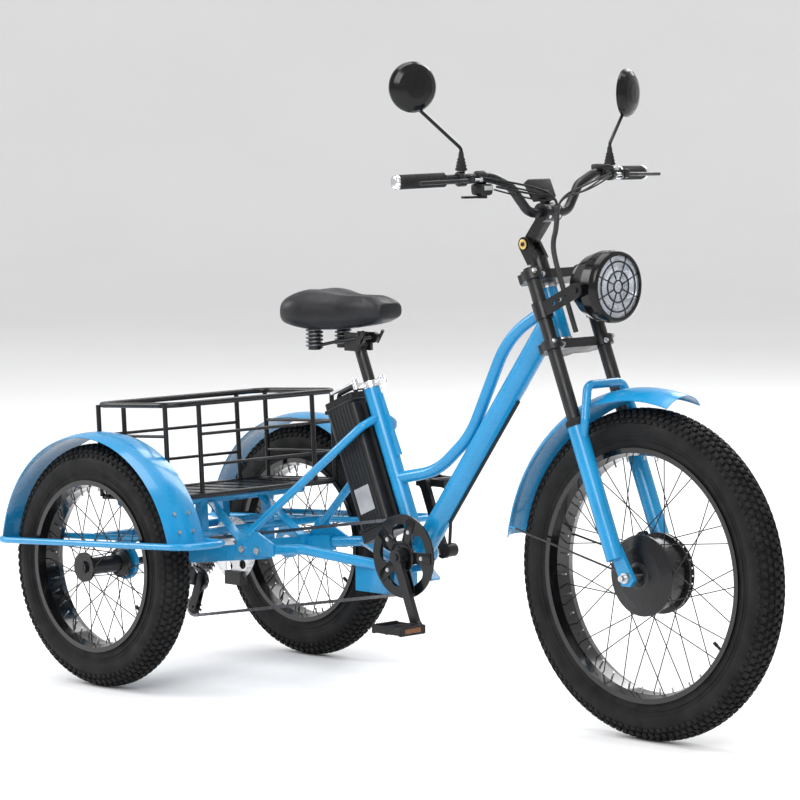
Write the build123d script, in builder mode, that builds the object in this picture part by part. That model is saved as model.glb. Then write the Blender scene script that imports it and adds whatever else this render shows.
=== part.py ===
"""Adult cargo tricycle with a front hub motor, a step-through frame and a basket
between its rear wheels.

Millimetres. +X is forward, +Y is the rider's left and +Z is up. The origin is on
the ground, in the middle of the tricycle's length and width. Places along the
tricycle are given ahead of the rear axle, and places on the fork are given on the
steering axis.
"""

import os
from math import asin, atan2, cos, degrees, hypot, pi, radians, sin, tan

from build123d import *

os.makedirs("parts", exist_ok=True)

# Stance
wheelbase = 1480
track = 700
rear_tyre_r = 299
front_tyre_r = 376
guard_reach = 338
overall_length = guard_reach + wheelbase + front_tyre_r
rear_x = guard_reach - overall_length / 2

# Fits
running_gap = 0.05
side_gap = 0.4

# Wheels
tyre_width = 98
tyre_height = 96
tyre_wall = 5
rim_width = 80
rim_wall = 4
flange_height = 8
rim_well = 7
spoke_count = 36
spoke_d = 2.6
rear_axle_d = 17
rear_hub_d = 42
rear_flange_d = 72
rear_flange_y = 56
rear_flange_t = 5
front_axle_d = 14
motor_d = 166
motor_flange_d = 184
motor_width = 64

# Steering head and fork
head_angle = 22
lower_crown_z = 869
crown_pitch = 168
crown_t = 22
steerer_d = 28.6
head_tube_d = 47
head_cup_t = 12
stanchion_d = 32
stanchion_y = 84
stanchion_ahead = 44
dropout_ahead = 16
seal_down = 184
suspension_travel = 45
leg_d = 42
fork_axle_y = 66

# Frame
bb_ahead = 750
bb_z = 358
bb_shell_d = 46
bb_shell_w = 70
seat_angle = 22.8
seat_tube_d = 40
seat_tube_top = 417
seatpost_d = 28.6
down_tube_d = 54
top_tube_d = 29
stay_d = 20
arm_d = 25
beam_y = 110
beam_w = 20
beam_h = 38
beam_front = 335
beam_rear = -105
yoke_plate_t = 6
cargo_pitch = 3.2
guard_d = 16
guard_v = 60
guard_out = 425
guard_in = 283
guard_front = 400

# Cranks and chain
crank_length = 170
crank_lean = 22
spindle_d = 17
crank_out = 72
crank_t = 14
ring_teeth = 44
cog_teeth = (14, 16, 18, 20, 22, 24, 28)
driven_cog = 1
cog_pitch = 5
pulley_teeth = 11
chain_pitch = 12.7
chain_y = -50
chain_half = 4
guide_pulley = (25, 235)
tension_pulley = (0, 165)
pedal_l = 96
pedal_w = 84
pedal_t = 22
pedal_y = 138

# Basket and rear fenders
basket_u0 = -80
basket_u1 = 200
basket_y = 280
basket_floor_v = 161
basket_rim_v = 387
basket_corner = 40
rim_tube_d = 14
post_d = 12
wire_d = 8
slat_w = 22
slat_t = 4
slat_count = 8
rear_fender_r = 327
rear_fender_w = 118
fender_t = 2
fender_crown = 10
front_fender_r = 421
front_fender_w = 114
front_fender_crown = 26

# Seat and battery
saddle_l = 318
saddle_w = 248
saddle_t = 96
battery_w = 84
battery_d = 104
battery_from = 98
battery_to = 410
rail_d = 14
rail_w = 34

# Handlebar
bar_d = 22.2
grip_d = 33
lamp_r = 82.5
mirror_r = 57
disc_t = 2


def at(ahead, left, up):
    """Point ahead of the rear axle, to the rider's left and above the ground."""
    return Vector(rear_x + ahead, left, up)


def cargo_at(u, y, v):
    """Point in the rear frame's own directions, which pitch up towards its front."""
    lean = radians(cargo_pitch)
    x = u * cos(lean) - v * sin(lean)
    z = u * sin(lean) + v * cos(lean)
    return at(x, y, rear_tyre_r + z)


steer_lean = radians(head_angle)
steer_up = Vector(-sin(steer_lean), 0, cos(steer_lean))
steer_ahead = Vector(cos(steer_lean), 0, sin(steer_lean))
axle_to_legs = dropout_ahead + stanchion_ahead / cos(steer_lean)
crown_x = wheelbase - axle_to_legs - tan(steer_lean) * (lower_crown_z - front_tyre_r)


def fork_at(ahead, y, up):
    """Point ahead of the steering axis and along it from the lower crown."""
    return at(crown_x, y, lower_crown_z) + steer_ahead * ahead + steer_up * up


seat_lean = radians(seat_angle)
seat_up = Vector(-sin(seat_lean), 0, cos(seat_lean))
seat_back = Vector(-cos(seat_lean), 0, -sin(seat_lean))


def seat_at(back, y, up):
    """Point behind the seat tube's axis and along it from the crank spindle."""
    return at(bb_ahead, y, bb_z) + seat_back * back + seat_up * up


def keep(builder, label):
    """Label a finished piece and write its STEP file."""
    builder.part.label = label
    export_step(builder.part, f"parts/{label}.step")


def rod(start, end, diameter, bore=0, mode=Mode.ADD):
    """Round bar or tube between two points."""
    run = Vector(end) - Vector(start)
    with BuildSketch(Plane(origin=start, z_dir=run)) as section:
        Circle(diameter / 2)
        if bore:
            Circle(bore / 2, mode=Mode.SUBTRACT)
    extrude(to_extrude=section.sketch, amount=run.length, mode=mode)


def cross_rod(ahead, up, y0, y1, diameter, bore=0, mode=Mode.ADD):
    """Round bar or tube across the tricycle."""
    rod(at(ahead, y0, up), at(ahead, y1, up), diameter, bore, mode)


def bent_tube(points, diameter, bends, close=False):
    """Round bar along straight runs joined by round bends."""
    with BuildLine() as path:
        FilletPolyline(*points, radius=bends, close=close)
    with BuildSketch(Plane(origin=path.line @ 0, z_dir=path.line % 0)) as section:
        Circle(diameter / 2)
    sweep(sections=section.sketch, path=path.line)


def bar(start, end, width, height, side=(0, 1, 0), mode=Mode.ADD):
    """Rectangular bar between two points, width measured along side."""
    run = Vector(end) - Vector(start)
    with BuildSketch(Plane(origin=start, x_dir=side, z_dir=run)) as section:
        Rectangle(width, height)
    extrude(to_extrude=section.sketch, amount=run.length, mode=mode)


def side_plane(y):
    """Upright plane with X to the right and Z up, which extrudes towards -Y."""
    return Plane.XZ.offset(-y)


def turned(origin, direction, profile, mode=Mode.ADD):
    """Body of revolution from points given as (along the axis, radius)."""
    with BuildSketch(Plane(origin=origin, x_dir=direction, z_dir=(0, 0, 1))) as section:
        with BuildLine():
            Polyline(*profile, close=True)
        make_face()
    revolve(profiles=section.sketch, axis=Axis(origin, direction), mode=mode)


def pitch_radius(teeth):
    """Radius of a sprocket's chain line."""
    return chain_pitch / 2 / sin(pi / teeth)


def sprocket(ahead, up, y, teeth, thickness, bore):
    """Toothed disc across the tricycle, with a valley for each chain roller."""
    root = pitch_radius(teeth)
    with BuildSketch(side_plane(y + thickness / 2)) as outline:
        with Locations((rear_x + ahead, up)):
            Circle(root + 3)
            Circle(bore / 2, mode=Mode.SUBTRACT)
            with PolarLocations(root, teeth):
                Circle(chain_half, mode=Mode.SUBTRACT)
    extrude(to_extrude=outline.sketch, amount=thickness)


# Wheels, one function for each kind of piece

def wheel_rim(hub, seat_r):
    """Deep rim with a flange at each edge and a well in the middle."""
    half = rim_width / 2
    inner = half - rim_wall
    profile = [
        (-half, seat_r + flange_height), (-half, seat_r - rim_wall),
        (-half / 2, seat_r - rim_well - rim_wall), (half / 2, seat_r - rim_well - rim_wall),
        (half, seat_r - rim_wall), (half, seat_r + flange_height),
        (inner, seat_r + flange_height), (inner, seat_r),
        (half / 2, seat_r - rim_well), (-half / 2, seat_r - rim_well),
        (-inner, seat_r), (-inner, seat_r + flange_height),
    ]
    turned(hub, (0, 1, 0), profile)


def wheel_tyre(hub, seat_r, outer_r):
    """Hollow balloon tyre whose beads sit inside the rim's flanges."""
    bead = rim_width / 2 - rim_wall
    belly = seat_r + tyre_height * 0.52
    shoulder = outer_r - 13
    tread = tyre_width / 2 - 10
    with BuildSketch(Plane(origin=hub, x_dir=(0, 1, 0), z_dir=(0, 0, 1))) as section:
        for inset, mode in ((0, Mode.ADD), (tyre_wall, Mode.SUBTRACT)):
            with BuildLine():
                base = Line((-bead + inset, seat_r), (bead - inset, seat_r))
                bead_right = Line(base @ 1, (bead - inset, seat_r + flange_height))
                right = ThreePointArc(
                    bead_right @ 1, (tyre_width / 2 - inset, belly), (tread - inset, shoulder - inset)
                )
                top = ThreePointArc(
                    right @ 1, (0, outer_r - inset), (-tread + inset, shoulder - inset)
                )
                left = ThreePointArc(
                    top @ 1, (-tyre_width / 2 + inset, belly), (-bead + inset, seat_r + flange_height)
                )
                Line(left @ 1, base @ 0)
            make_face(mode=mode)
    revolve(profiles=section.sketch, axis=Axis(hub, (0, 1, 0)))


def wheel_spokes(hub, flange_r, flange_y, seat_r):
    """Crossed spokes from the hub's two flanges to the rim's well."""
    rim_r = seat_r - rim_well - rim_wall
    for number in range(spoke_count):
        side = 1 if number % 2 else -1
        cross = 1 if number // 2 % 2 else -1
        at_rim = 2 * pi * number / spoke_count
        at_hub = at_rim + cross * radians(38)
        start = hub + Vector(flange_r * cos(at_hub), side * flange_y, flange_r * sin(at_hub))
        end = hub + Vector(rim_r * cos(at_rim), side * 9, rim_r * sin(at_rim))
        rod(start, end, spoke_d)


front_hub = at(wheelbase, 0, front_tyre_r)
rear_seat_r = rear_tyre_r - tyre_height
front_seat_r = front_tyre_r - tyre_height

for side, sign in (("right", -1), ("left", 1)):
    rear_hub = at(0, sign * track / 2, rear_tyre_r)

    with BuildPart() as rear_tyre:
        wheel_tyre(rear_hub, rear_seat_r, rear_tyre_r)
    keep(rear_tyre, f"rear_{side}_tyre")

    with BuildPart() as rear_rim:
        wheel_rim(rear_hub, rear_seat_r)
    keep(rear_rim, f"rear_{side}_rim")

    hub_bore = rear_axle_d / 2 + (running_gap if side == "left" else 0)
    hub_half = rear_flange_y + rear_flange_t
    with BuildPart() as rear_hub_shell:
        turned(rear_hub, (0, 1, 0), [
            (-hub_half, hub_bore), (hub_half, hub_bore),
            (hub_half, rear_flange_d / 2), (rear_flange_y - rear_flange_t / 2, rear_flange_d / 2),
            (rear_flange_y - 9, rear_hub_d / 2), (-rear_flange_y + 9, rear_hub_d / 2),
            (-rear_flange_y + rear_flange_t / 2, rear_flange_d / 2), (-hub_half, rear_flange_d / 2),
        ])
        wheel_spokes(rear_hub, rear_flange_d / 2 - 5, rear_flange_y, rear_seat_r)
    keep(rear_hub_shell, f"rear_{side}_hub")

axle_end = track / 2 + rear_flange_y + rear_flange_t
with BuildPart() as rear_axle:
    cross_rod(0, rear_tyre_r, -axle_end - 8, axle_end + 8, rear_axle_d)
    for sign in (-1, 1):
        nut_face = sign * (axle_end + (side_gap if sign > 0 else 0))
        cross_rod(0, rear_tyre_r, nut_face, nut_face + sign * 7, 30)
    stop = track / 2 - rear_flange_y - rear_flange_t - side_gap
    cross_rod(0, rear_tyre_r, stop - 6, stop, 26)
keep(rear_axle, "rear_axle")


def disc_rotor(hub, y, outer_r, bore_d):
    """Drilled brake disc on a small carrier."""
    with BuildSketch(Plane.XZ.offset(-(y + disc_t / 2))) as face:
        with Locations((hub.X, hub.Z)):
            Circle(outer_r)
            Circle(bore_d / 2, mode=Mode.SUBTRACT)
            with PolarLocations(outer_r - 30, 6, start_angle=10):
                Circle(12, mode=Mode.SUBTRACT)
            with PolarLocations(outer_r - 5, 30):
                Circle(2, mode=Mode.SUBTRACT)
            with PolarLocations(outer_r - 11, 30, start_angle=6):
                Circle(2, mode=Mode.SUBTRACT)
    extrude(to_extrude=face.sketch, amount=disc_t)


rear_disc_y = 85
rear_disc_r = 80
with BuildPart() as rear_brake_disc:
    disc_rotor(at(0, 0, rear_tyre_r), rear_disc_y, rear_disc_r, rear_axle_d)
    cross_rod(0, rear_tyre_r, rear_disc_y - 14, rear_disc_y - disc_t / 2, 46, rear_axle_d)
keep(rear_brake_disc, "rear_brake_disc")

with BuildPart() as front_tyre:
    wheel_tyre(front_hub, front_seat_r, front_tyre_r)
keep(front_tyre, "front_tyre")

with BuildPart() as front_rim:
    wheel_rim(front_hub, front_seat_r)
keep(front_rim, "front_rim")

motor_half = motor_width / 2
with BuildPart() as hub_motor:
    turned(front_hub, (0, 1, 0), [
        (-motor_half - 16, front_axle_d / 2 + running_gap), (motor_half + 12, front_axle_d / 2 + running_gap),
        (motor_half + 12, 22), (motor_half + 4, 30), (motor_half, motor_flange_d / 2),
        (motor_half - 5, motor_flange_d / 2), (motor_half - 6, motor_d / 2),
        (-motor_half + 6, motor_d / 2), (-motor_half + 5, motor_flange_d / 2),
        (-motor_half, motor_flange_d / 2), (-motor_half - 8, 62), (-motor_half - 12, 24),
        (-motor_half - 16, 22),
    ])
    wheel_spokes(front_hub, motor_flange_d / 2 - 5, motor_half - 3, front_seat_r)
keep(hub_motor, "hub_motor")

front_disc_y = motor_half + 12 + disc_t / 2
front_disc_r = 90
with BuildPart() as front_brake_disc:
    disc_rotor(front_hub, front_disc_y, front_disc_r, 30)
keep(front_brake_disc, "front_brake_disc")

# Fork

leg_foot = fork_at(stanchion_ahead, 0, 0) - steer_up * (
    (lower_crown_z - front_tyre_r - 22) / cos(steer_lean)
)
leg_length = (fork_at(stanchion_ahead, 0, -seal_down) - leg_foot).length

with BuildPart() as fork_lowers:
    for sign in (-1, 1):
        offset = Vector(0, sign * stanchion_y, 0)
        rod(leg_foot + offset, fork_at(stanchion_ahead, sign * stanchion_y, -seal_down - 8), leg_d)
        rod(fork_at(stanchion_ahead, sign * stanchion_y, -seal_down - 8),
            fork_at(stanchion_ahead, sign * stanchion_y, -seal_down), leg_d - 2)
        dropout = side_plane(sign * (fork_axle_y + 10) + 5)
        foot = leg_foot + steer_up * 30
        with BuildSketch(dropout) as dropout_face:
            with BuildLine():
                Polyline(
                    (foot.X - 16, foot.Z), (foot.X + 16, foot.Z + 6),
                    (front_hub.X + 20, front_hub.Z - 4), (front_hub.X + 8, front_hub.Z - 20),
                    (front_hub.X - 16, front_hub.Z - 20), close=True,
                )
            make_face()
        extrude(to_extrude=dropout_face.sketch, amount=10)
    arch_points = [
        fork_at(50, -stanchion_y, -232), fork_at(74, -stanchion_y, -190), fork_at(88, -58, -112),
        fork_at(88, 58, -112), fork_at(74, stanchion_y, -190), fork_at(50, stanchion_y, -232),
    ]
    bent_tube(arch_points, 20, 22)
    for sign in (-1, 1):
        leg_top = fork_at(stanchion_ahead, sign * stanchion_y, -seal_down + 1)
        leg_end = leg_foot + Vector(0, sign * stanchion_y, 0) + steer_up * 40
        rod(leg_top, leg_end, stanchion_d + 2 * running_gap, mode=Mode.SUBTRACT)
    cross_rod(wheelbase, front_tyre_r, -120, 120, front_axle_d, mode=Mode.SUBTRACT)
keep(fork_lowers, "fork_lowers")

with BuildPart() as front_axle:
    cross_rod(wheelbase, front_tyre_r, -104, 104, front_axle_d)
    for sign in (-1, 1):
        cross_rod(wheelbase, front_tyre_r, sign * 81, sign * 92, 24)
keep(front_axle, "front_axle")

with BuildPart() as fork_stanchions:
    for sign in (-1, 1):
        rod(leg_foot + Vector(0, sign * stanchion_y, 0) + steer_up * (45 + suspension_travel),
            fork_at(stanchion_ahead, sign * stanchion_y, crown_pitch + crown_t / 2 + 6), stanchion_d)
keep(fork_stanchions, "fork_stanchions")

with BuildPart() as fork_crowns:
    for up in (0, crown_pitch):
        middle = fork_at(0, 0, up)
        crown_plane = Plane(origin=middle - steer_up * (crown_t / 2), x_dir=steer_ahead, z_dir=steer_up)
        with BuildSketch(crown_plane) as crown:
            with Locations((stanchion_ahead / 2 + 2, 0)):
                RectangleRounded(stanchion_ahead + 10, 2 * stanchion_y, 10)
            Circle(27)
            for sign in (-1, 1):
                with Locations((stanchion_ahead, sign * stanchion_y)):
                    Circle(stanchion_d / 2 + 8)
                with Locations((stanchion_ahead - 26, sign * stanchion_y)):
                    Rectangle(22, 16)
            for sign in (-1, 1):
                with Locations((stanchion_ahead, sign * stanchion_y)):
                    Circle(stanchion_d / 2, mode=Mode.SUBTRACT)
        extrude(to_extrude=crown.sketch, amount=crown_t)
    rod(fork_at(0, 0, -crown_t / 2), fork_at(0, 0, crown_pitch + 30), steerer_d)
keep(fork_crowns, "fork_crowns")

cup_bore = steerer_d + 2 * running_gap
cup_low = crown_t / 2 + side_gap
cup_high = crown_pitch - crown_t / 2 - side_gap

# Front fender, which rides on the fork lowers


def fender_shell(hub, crown_r, width, crown_drop, first, sweep_angle):
    """Arched strip round a wheel, from the angle first and on by sweep_angle."""
    half = width / 2
    toward = Vector(cos(radians(first)), 0, sin(radians(first)))
    with BuildSketch(Plane(origin=hub, x_dir=toward, z_dir=toward.cross(Vector(0, 1, 0)))) as section:
        with BuildLine():
            outer = ThreePointArc(
                (crown_r - crown_drop, -half), (crown_r, 0), (crown_r - crown_drop, half)
            )
            edge = Line(outer @ 1, (crown_r - crown_drop - fender_t, half - fender_t))
            inner = ThreePointArc(
                edge @ 1, (crown_r - fender_t, 0), (crown_r - crown_drop - fender_t, fender_t - half)
            )
            Line(inner @ 1, outer @ 0)
        make_face()
    revolve(profiles=section.sketch, axis=Axis(hub, (0, -1, 0)), revolution_arc=sweep_angle)


with BuildPart() as front_fender:
    fender_shell(front_hub, front_fender_r, front_fender_w, front_fender_crown, 76, 96)
    for sign in (-1, 1):
        stay_from = front_hub + Vector(cos(radians(168)), 0, sin(radians(168))) * (front_fender_r - 24)
        stay_from = stay_from + Vector(0, sign * (front_fender_w / 2 - 3), 0)
        stay_to = at(wheelbase - 22, sign * (fork_axle_y + 2), front_tyre_r + 6)
        rod(stay_from, stay_to, 5)
keep(front_fender, "front_fender")

disc_slot = disc_t / 2 + side_gap
caliper_hub = front_hub + Vector(-cos(radians(40)), 0, sin(radians(40))) * (front_disc_r - 8)
with BuildPart() as front_brake_caliper:
    with Locations(Location((caliper_hub.X, front_disc_y + 6, caliper_hub.Z), (0, 50, 0))):
        Box(62, 28, 34)
    cross_rod(wheelbase, front_tyre_r, front_disc_y - disc_slot, front_disc_y + disc_slot,
              2 * front_disc_r + 6, mode=Mode.SUBTRACT)
keep(front_brake_caliper, "front_brake_caliper")

# Main frame

bb = at(bb_ahead, 0, bb_z)
head_low = fork_at(0, 0, cup_low + head_cup_t)
head_high = fork_at(0, 0, cup_high - head_cup_t)
head_join = fork_at(0, 0, crown_pitch / 2 - 3)
down_run = (head_join - bb).normalized()
down_normal = Vector(-down_run.Z, 0, down_run.X)
tubes_touch = down_tube_d / 2 + top_tube_d / 2 - 1.5
top_points = [
    fork_at(0, 0, crown_pitch / 2 + 22),
    bb + down_run * 600 + down_normal * 85,
    bb + down_run * 337 + down_normal * tubes_touch,
    bb + down_run * 198 + down_normal * 73,
    seat_at(0, 0, 191),
]
box_height = 62
box_top = bb_z - 38
arm_points = [
    at(beam_front + 8, beam_y, 343), at(452, beam_y - 2, 354), at(566, 60, 336), at(668, 26, 322),
]
stay_points = [
    at(283, beam_y + beam_w / 2 + yoke_plate_t / 2, 380), seat_at(14, battery_w / 2 + 14, 330),
    seat_at(-2, 14, 344),
]


def mirrored(points):
    """The same points on the rider's right."""
    return [Vector(point.X, -point.Y, point.Z) for point in points]


with BuildPart() as main_frame:
    rod(head_low, head_high, head_tube_d)
    rod(bb, head_join, down_tube_d)
    bent_tube(top_points, top_tube_d, [240, 230, 200])
    rod(bb, seat_at(0, 0, seat_tube_top), seat_tube_d)
    cross_rod(bb_ahead, bb_z, -bb_shell_w / 2, bb_shell_w / 2, bb_shell_d)
    bar(seat_at(-seat_tube_d / 2 - 4, 0, 240), seat_at(-seat_tube_d / 2 + 2, 0, seat_tube_top - 20), 8, 18)
    with Locations(at(634, 0, box_top - box_height / 2)):
        Box(132, 78, box_height)
        Box(126, 72, box_height, align=(Align.CENTER, Align.CENTER, Align.MAX), mode=Mode.SUBTRACT)
    bar(at(690, 0, box_top - 10), at(bb_ahead, 0, box_top + 6), 60, 16)
    bar(at(bb_ahead + 4, 0, bb_z - 20), at(bb_ahead + 50, 0, bb_z - 56), 30, 8)
    for points in (arm_points, mirrored(arm_points)):
        bent_tube(points, arm_d, [70, 90])
    for points in (stay_points, mirrored(stay_points)):
        bent_tube(points, stay_d, 30)
    for sign in (-1, 1):
        plate_y = sign * (beam_y + beam_w / 2 + yoke_plate_t / 2)
        plane = side_plane(plate_y + yoke_plate_t / 2)
        with BuildSketch(plane) as yoke_plate:
            with BuildLine():
                corners = [at(238, 0, 322), at(238, 0, 352), at(268, 0, 392), at(298, 0, 392),
                           at(372, 0, 360), at(372, 0, 330)]
                Polyline(*[(corner.X, corner.Z) for corner in corners], close=True)
            make_face()
        extrude(to_extrude=yoke_plate.sketch, amount=yoke_plate_t)
        bar(at(352, sign * (beam_y - 4), 345), at(352, sign * (beam_y + 12), 345), 22, 20, side=(1, 0, 0))
    rod(fork_at(0, 0, 0), fork_at(0, 0, crown_pitch), steerer_d + 6, mode=Mode.SUBTRACT)
    rod(seat_at(0, 0, 160), seat_at(0, 0, seat_tube_top + 5), seatpost_d + 2 * running_gap,
        mode=Mode.SUBTRACT)
    cross_rod(bb_ahead, bb_z, -60, 60, spindle_d + 12, mode=Mode.SUBTRACT)
keep(main_frame, "main_frame")

# Rear frame, bolted to the main frame's yoke plates

carrier_bore = 35
bearing_w = 12
guard_points = [
    cargo_at(-guard_reach + guard_d / 2, guard_out, guard_v), cargo_at(guard_front, guard_out, guard_v),
    cargo_at(guard_front, guard_in, guard_v), cargo_at(-guard_reach + guard_d / 2, guard_in, guard_v),
]
beam_start = at(beam_rear, 0, 286)
beam_end = at(beam_front, 0, 340)
floor_bearer_v = basket_floor_v - rim_tube_d / 2 - 11
post_u = (-60, 104)

with BuildPart() as rear_subframe:
    for sign in (-1, 1):
        bar(beam_start + Vector(0, sign * beam_y, 0), beam_end + Vector(0, sign * beam_y, 0), beam_w, beam_h)
        cross_rod(0, rear_tyre_r, sign * (beam_y - bearing_w), sign * (beam_y + bearing_w), 62)
        cross_rod(0, rear_tyre_r, sign * (guard_in - 15), sign * (guard_in - 3), 84)
        bar(cargo_at(0, sign * (guard_in - 9), 20), cargo_at(0, sign * (guard_in - 9), guard_v + 4), 12, 60)
        points = guard_points if sign > 0 else mirrored(guard_points)
        bent_tube(points, guard_d, 58, close=True)
        for u in (-318, 318):
            bar(cargo_at(u, sign * guard_in, guard_v), cargo_at(u, sign * guard_out, guard_v), 26, 4,
                side=(1, 0, 0))
        for u in post_u:
            bar(cargo_at(u, sign * beam_y, 10), cargo_at(u, sign * beam_y, floor_bearer_v), 22, 22)
        bar(cargo_at(post_u[1], sign * 84, floor_bearer_v), cargo_at(250, sign * (beam_y - 8), 30), 28, 4)
        bar(cargo_at(240, sign * (beam_y - 8), 30), cargo_at(256, sign * (beam_y - 8), 30), 28, 24)
    for u in (-100, 108):
        rod(cargo_at(u, -guard_in, guard_v), cargo_at(u, guard_in, guard_v), 20)
    for u in post_u:
        rod(cargo_at(u, -232, floor_bearer_v), cargo_at(u, 232, floor_bearer_v), 22)
    rod(cargo_at(-92, -beam_y, 18), cargo_at(-92, beam_y, 18), 24)
    cross_rod(0, rear_tyre_r, -guard_in - 5, guard_in + 5, carrier_bore, mode=Mode.SUBTRACT)
keep(rear_subframe, "rear_subframe")

with BuildPart() as bearings:
    for sign in (-1, 1):
        for middle in (beam_y, guard_in - 9):
            near = sign * (middle - 6)
            cross_rod(0, rear_tyre_r, near, near + sign * bearing_w, carrier_bore,
                      rear_axle_d + 2 * running_gap)
    for up in (cup_low, cup_high - head_cup_t):
        rod(fork_at(0, 0, up), fork_at(0, 0, up + head_cup_t), head_tube_d + 4, cup_bore)
    for sign in (-1, 1):
        face = sign * bb_shell_w / 2
        cross_rod(bb_ahead, bb_z, face, face + sign * 6, 42, spindle_d + 2 * running_gap)
keep(bearings, "bearings")

for side, sign in (("right", -1), ("left", 1)):
    fender_hub = at(0, sign * track / 2, rear_tyre_r)
    end_angle = degrees(asin((guard_v + 2) / rear_fender_r))
    with BuildPart() as rear_fender:
        fender_shell(fender_hub, rear_fender_r, rear_fender_w, fender_crown,
                     end_angle + cargo_pitch, 180 - 2 * end_angle)
    keep(rear_fender, f"rear_{side}_fender")

with BuildPart() as frame_bolts:
    for sign in (-1, 1):
        plate_out = beam_y + beam_w / 2 + yoke_plate_t
        for ahead in (263, 317):
            cross_rod(ahead, 340, sign * plate_out, sign * (plate_out + 6), 17)
        for angle in (16, 24):
            lean = radians(angle + cargo_pitch)
            out = Vector(cos(lean), 0, sin(lean))
            middle = at(0, sign * track / 2, rear_tyre_r)
            for y in (-22, 22):
                seat = middle + Vector(0, y, 0) + out * (rear_fender_r - 1.4)
                rod(seat, seat + out * 4, 10)
keep(frame_bolts, "frame_bolts")

# Basket

basket_corners = [
    (basket_u0, -basket_y), (basket_u1, -basket_y), (basket_u1, basket_y), (basket_u0, basket_y),
]
side_posts = [(-70, -basket_y), (178, -basket_y), (-70, basket_y), (178, basket_y)]
rear_posts = [-190, 190]
wire_levels = (235, 311)


with BuildPart() as cargo_basket:
    for v in (basket_floor_v, basket_rim_v):
        bent_tube([cargo_at(u, y, v) for u, y in basket_corners], rim_tube_d, basket_corner, close=True)
    for u, y in side_posts:
        rod(cargo_at(u, y, basket_floor_v), cargo_at(u, y, basket_rim_v), post_d)
    for u in (basket_u0, basket_u1):
        for y in rear_posts:
            rod(cargo_at(u, y, basket_floor_v), cargo_at(u, y, basket_rim_v), post_d)
    for v in wire_levels:
        for y in (-basket_y, basket_y):
            rod(cargo_at(-70, y, v), cargo_at(178, y, v), wire_d)
        bent_tube([cargo_at(-70, -basket_y, v), cargo_at(basket_u0, -basket_y + 12, v),
                   cargo_at(basket_u0, 190, v)],
                  wire_d, 8)
        bent_tube([cargo_at(178, basket_y, v), cargo_at(basket_u1, basket_y - 12, v),
                   cargo_at(basket_u1, -190, v)],
                  wire_d, 8)
    for number in range(slat_count):
        y = -basket_y + (number + 0.5) * 2 * basket_y / slat_count
        bar(cargo_at(basket_u0, y, basket_floor_v), cargo_at(basket_u1, y, basket_floor_v),
            slat_w * 2, slat_t)
    for u in post_u:
        bar(cargo_at(u, -basket_y, basket_floor_v - 3.5), cargo_at(u, basket_y, basket_floor_v - 3.5), 22, 7,
            side=(1, 0, 0))
keep(cargo_basket, "cargo_basket")

# Cranks and pedals

crank_dir = Vector(sin(radians(crank_lean)), 0, -cos(radians(crank_lean)))
ring_r = pitch_radius(ring_teeth)
with BuildPart() as chainring:
    with BuildSketch(side_plane(chain_y + 1)) as outline:
        with Locations((bb.X, bb.Z)):
            Circle(ring_r + 3)
            Circle(ring_r - 12, mode=Mode.SUBTRACT)
            with PolarLocations(ring_r, ring_teeth):
                Circle(chain_half, mode=Mode.SUBTRACT)
    extrude(to_extrude=outline.sketch, amount=2)
keep(chainring, "chainring")

with BuildPart() as chain_guard:
    with BuildSketch(side_plane(chain_y - 5)) as outline:
        with Locations((bb.X, bb.Z)):
            Circle(ring_r + 11)
            Circle(20, mode=Mode.SUBTRACT)
            with PolarLocations(55, 5, start_angle=20):
                SlotCenterToCenter(26, 42, rotation=90, mode=Mode.SUBTRACT)
    extrude(to_extrude=outline.sketch, amount=4)
    cross_rod(bb_ahead, bb_z, chain_y - 5, chain_y - 1, 2 * ring_r - 12, 2 * ring_r - 24)
keep(chain_guard, "chain_guard")

with BuildPart() as crank_arms:
    cross_rod(bb_ahead, bb_z, -crank_out, crank_out, spindle_d)
    for sign in (-1, 1):
        end = bb + crank_dir * (-sign * crank_length)
        cross_rod(bb_ahead, bb_z, sign * crank_out, sign * (crank_out + crank_t), 36)
        cross_rod(end.X - rear_x, end.Z, sign * crank_out, sign * (crank_out + crank_t), 28)
        middle = Vector(0, sign * (crank_out + crank_t / 2), 0)
        bar(bb + middle, end + middle, crank_t - 2, 24)
        cross_rod(end.X - rear_x, end.Z, sign * (crank_out + crank_t), sign * (pedal_y + pedal_w / 2 - 4), 9)
        cross_rod(bb_ahead, bb_z, sign * (crank_out + crank_t), sign * (crank_out + crank_t + 4), 18)
    cross_rod(bb_ahead, bb_z, -crank_out, chain_y - 9, 42, spindle_d)
keep(crank_arms, "crank_arms")

for side, sign in (("right", -1), ("left", 1)):
    end = bb + crank_dir * (-sign * crank_length)
    with BuildPart() as pedal:
        with Locations((end.X, sign * pedal_y, end.Z)):
            Box(pedal_l, pedal_w, pedal_t)
            for x in (-pedal_l / 4 - 3, pedal_l / 4 + 3):
                with Locations((x, 0, 0)):
                    Box(pedal_l / 2 - 22, pedal_w - 18, pedal_t, mode=Mode.SUBTRACT)
        cross_rod(end.X - rear_x, end.Z, sign * 90, sign * 200, 9 + 2 * running_gap, mode=Mode.SUBTRACT)
    keep(pedal, f"pedal_{side}")

# Drive

with BuildPart() as cassette:
    for number, teeth in enumerate(cog_teeth):
        y = chain_y + (number - driven_cog) * cog_pitch
        sprocket(0, rear_tyre_r, y, teeth, 1.9, 30)
    y_out = chain_y - driven_cog * cog_pitch - 4
    cross_rod(0, rear_tyre_r, y_out, y_out + 38, 30, rear_axle_d + 2 * running_gap)
keep(cassette, "cassette")

for label, place in (("guide_pulley", guide_pulley), ("tension_pulley", tension_pulley)):
    with BuildPart() as pulley:
        sprocket(*place, chain_y, pulley_teeth, 2.6, 6 + 2 * running_gap)
    keep(pulley, label)

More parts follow.
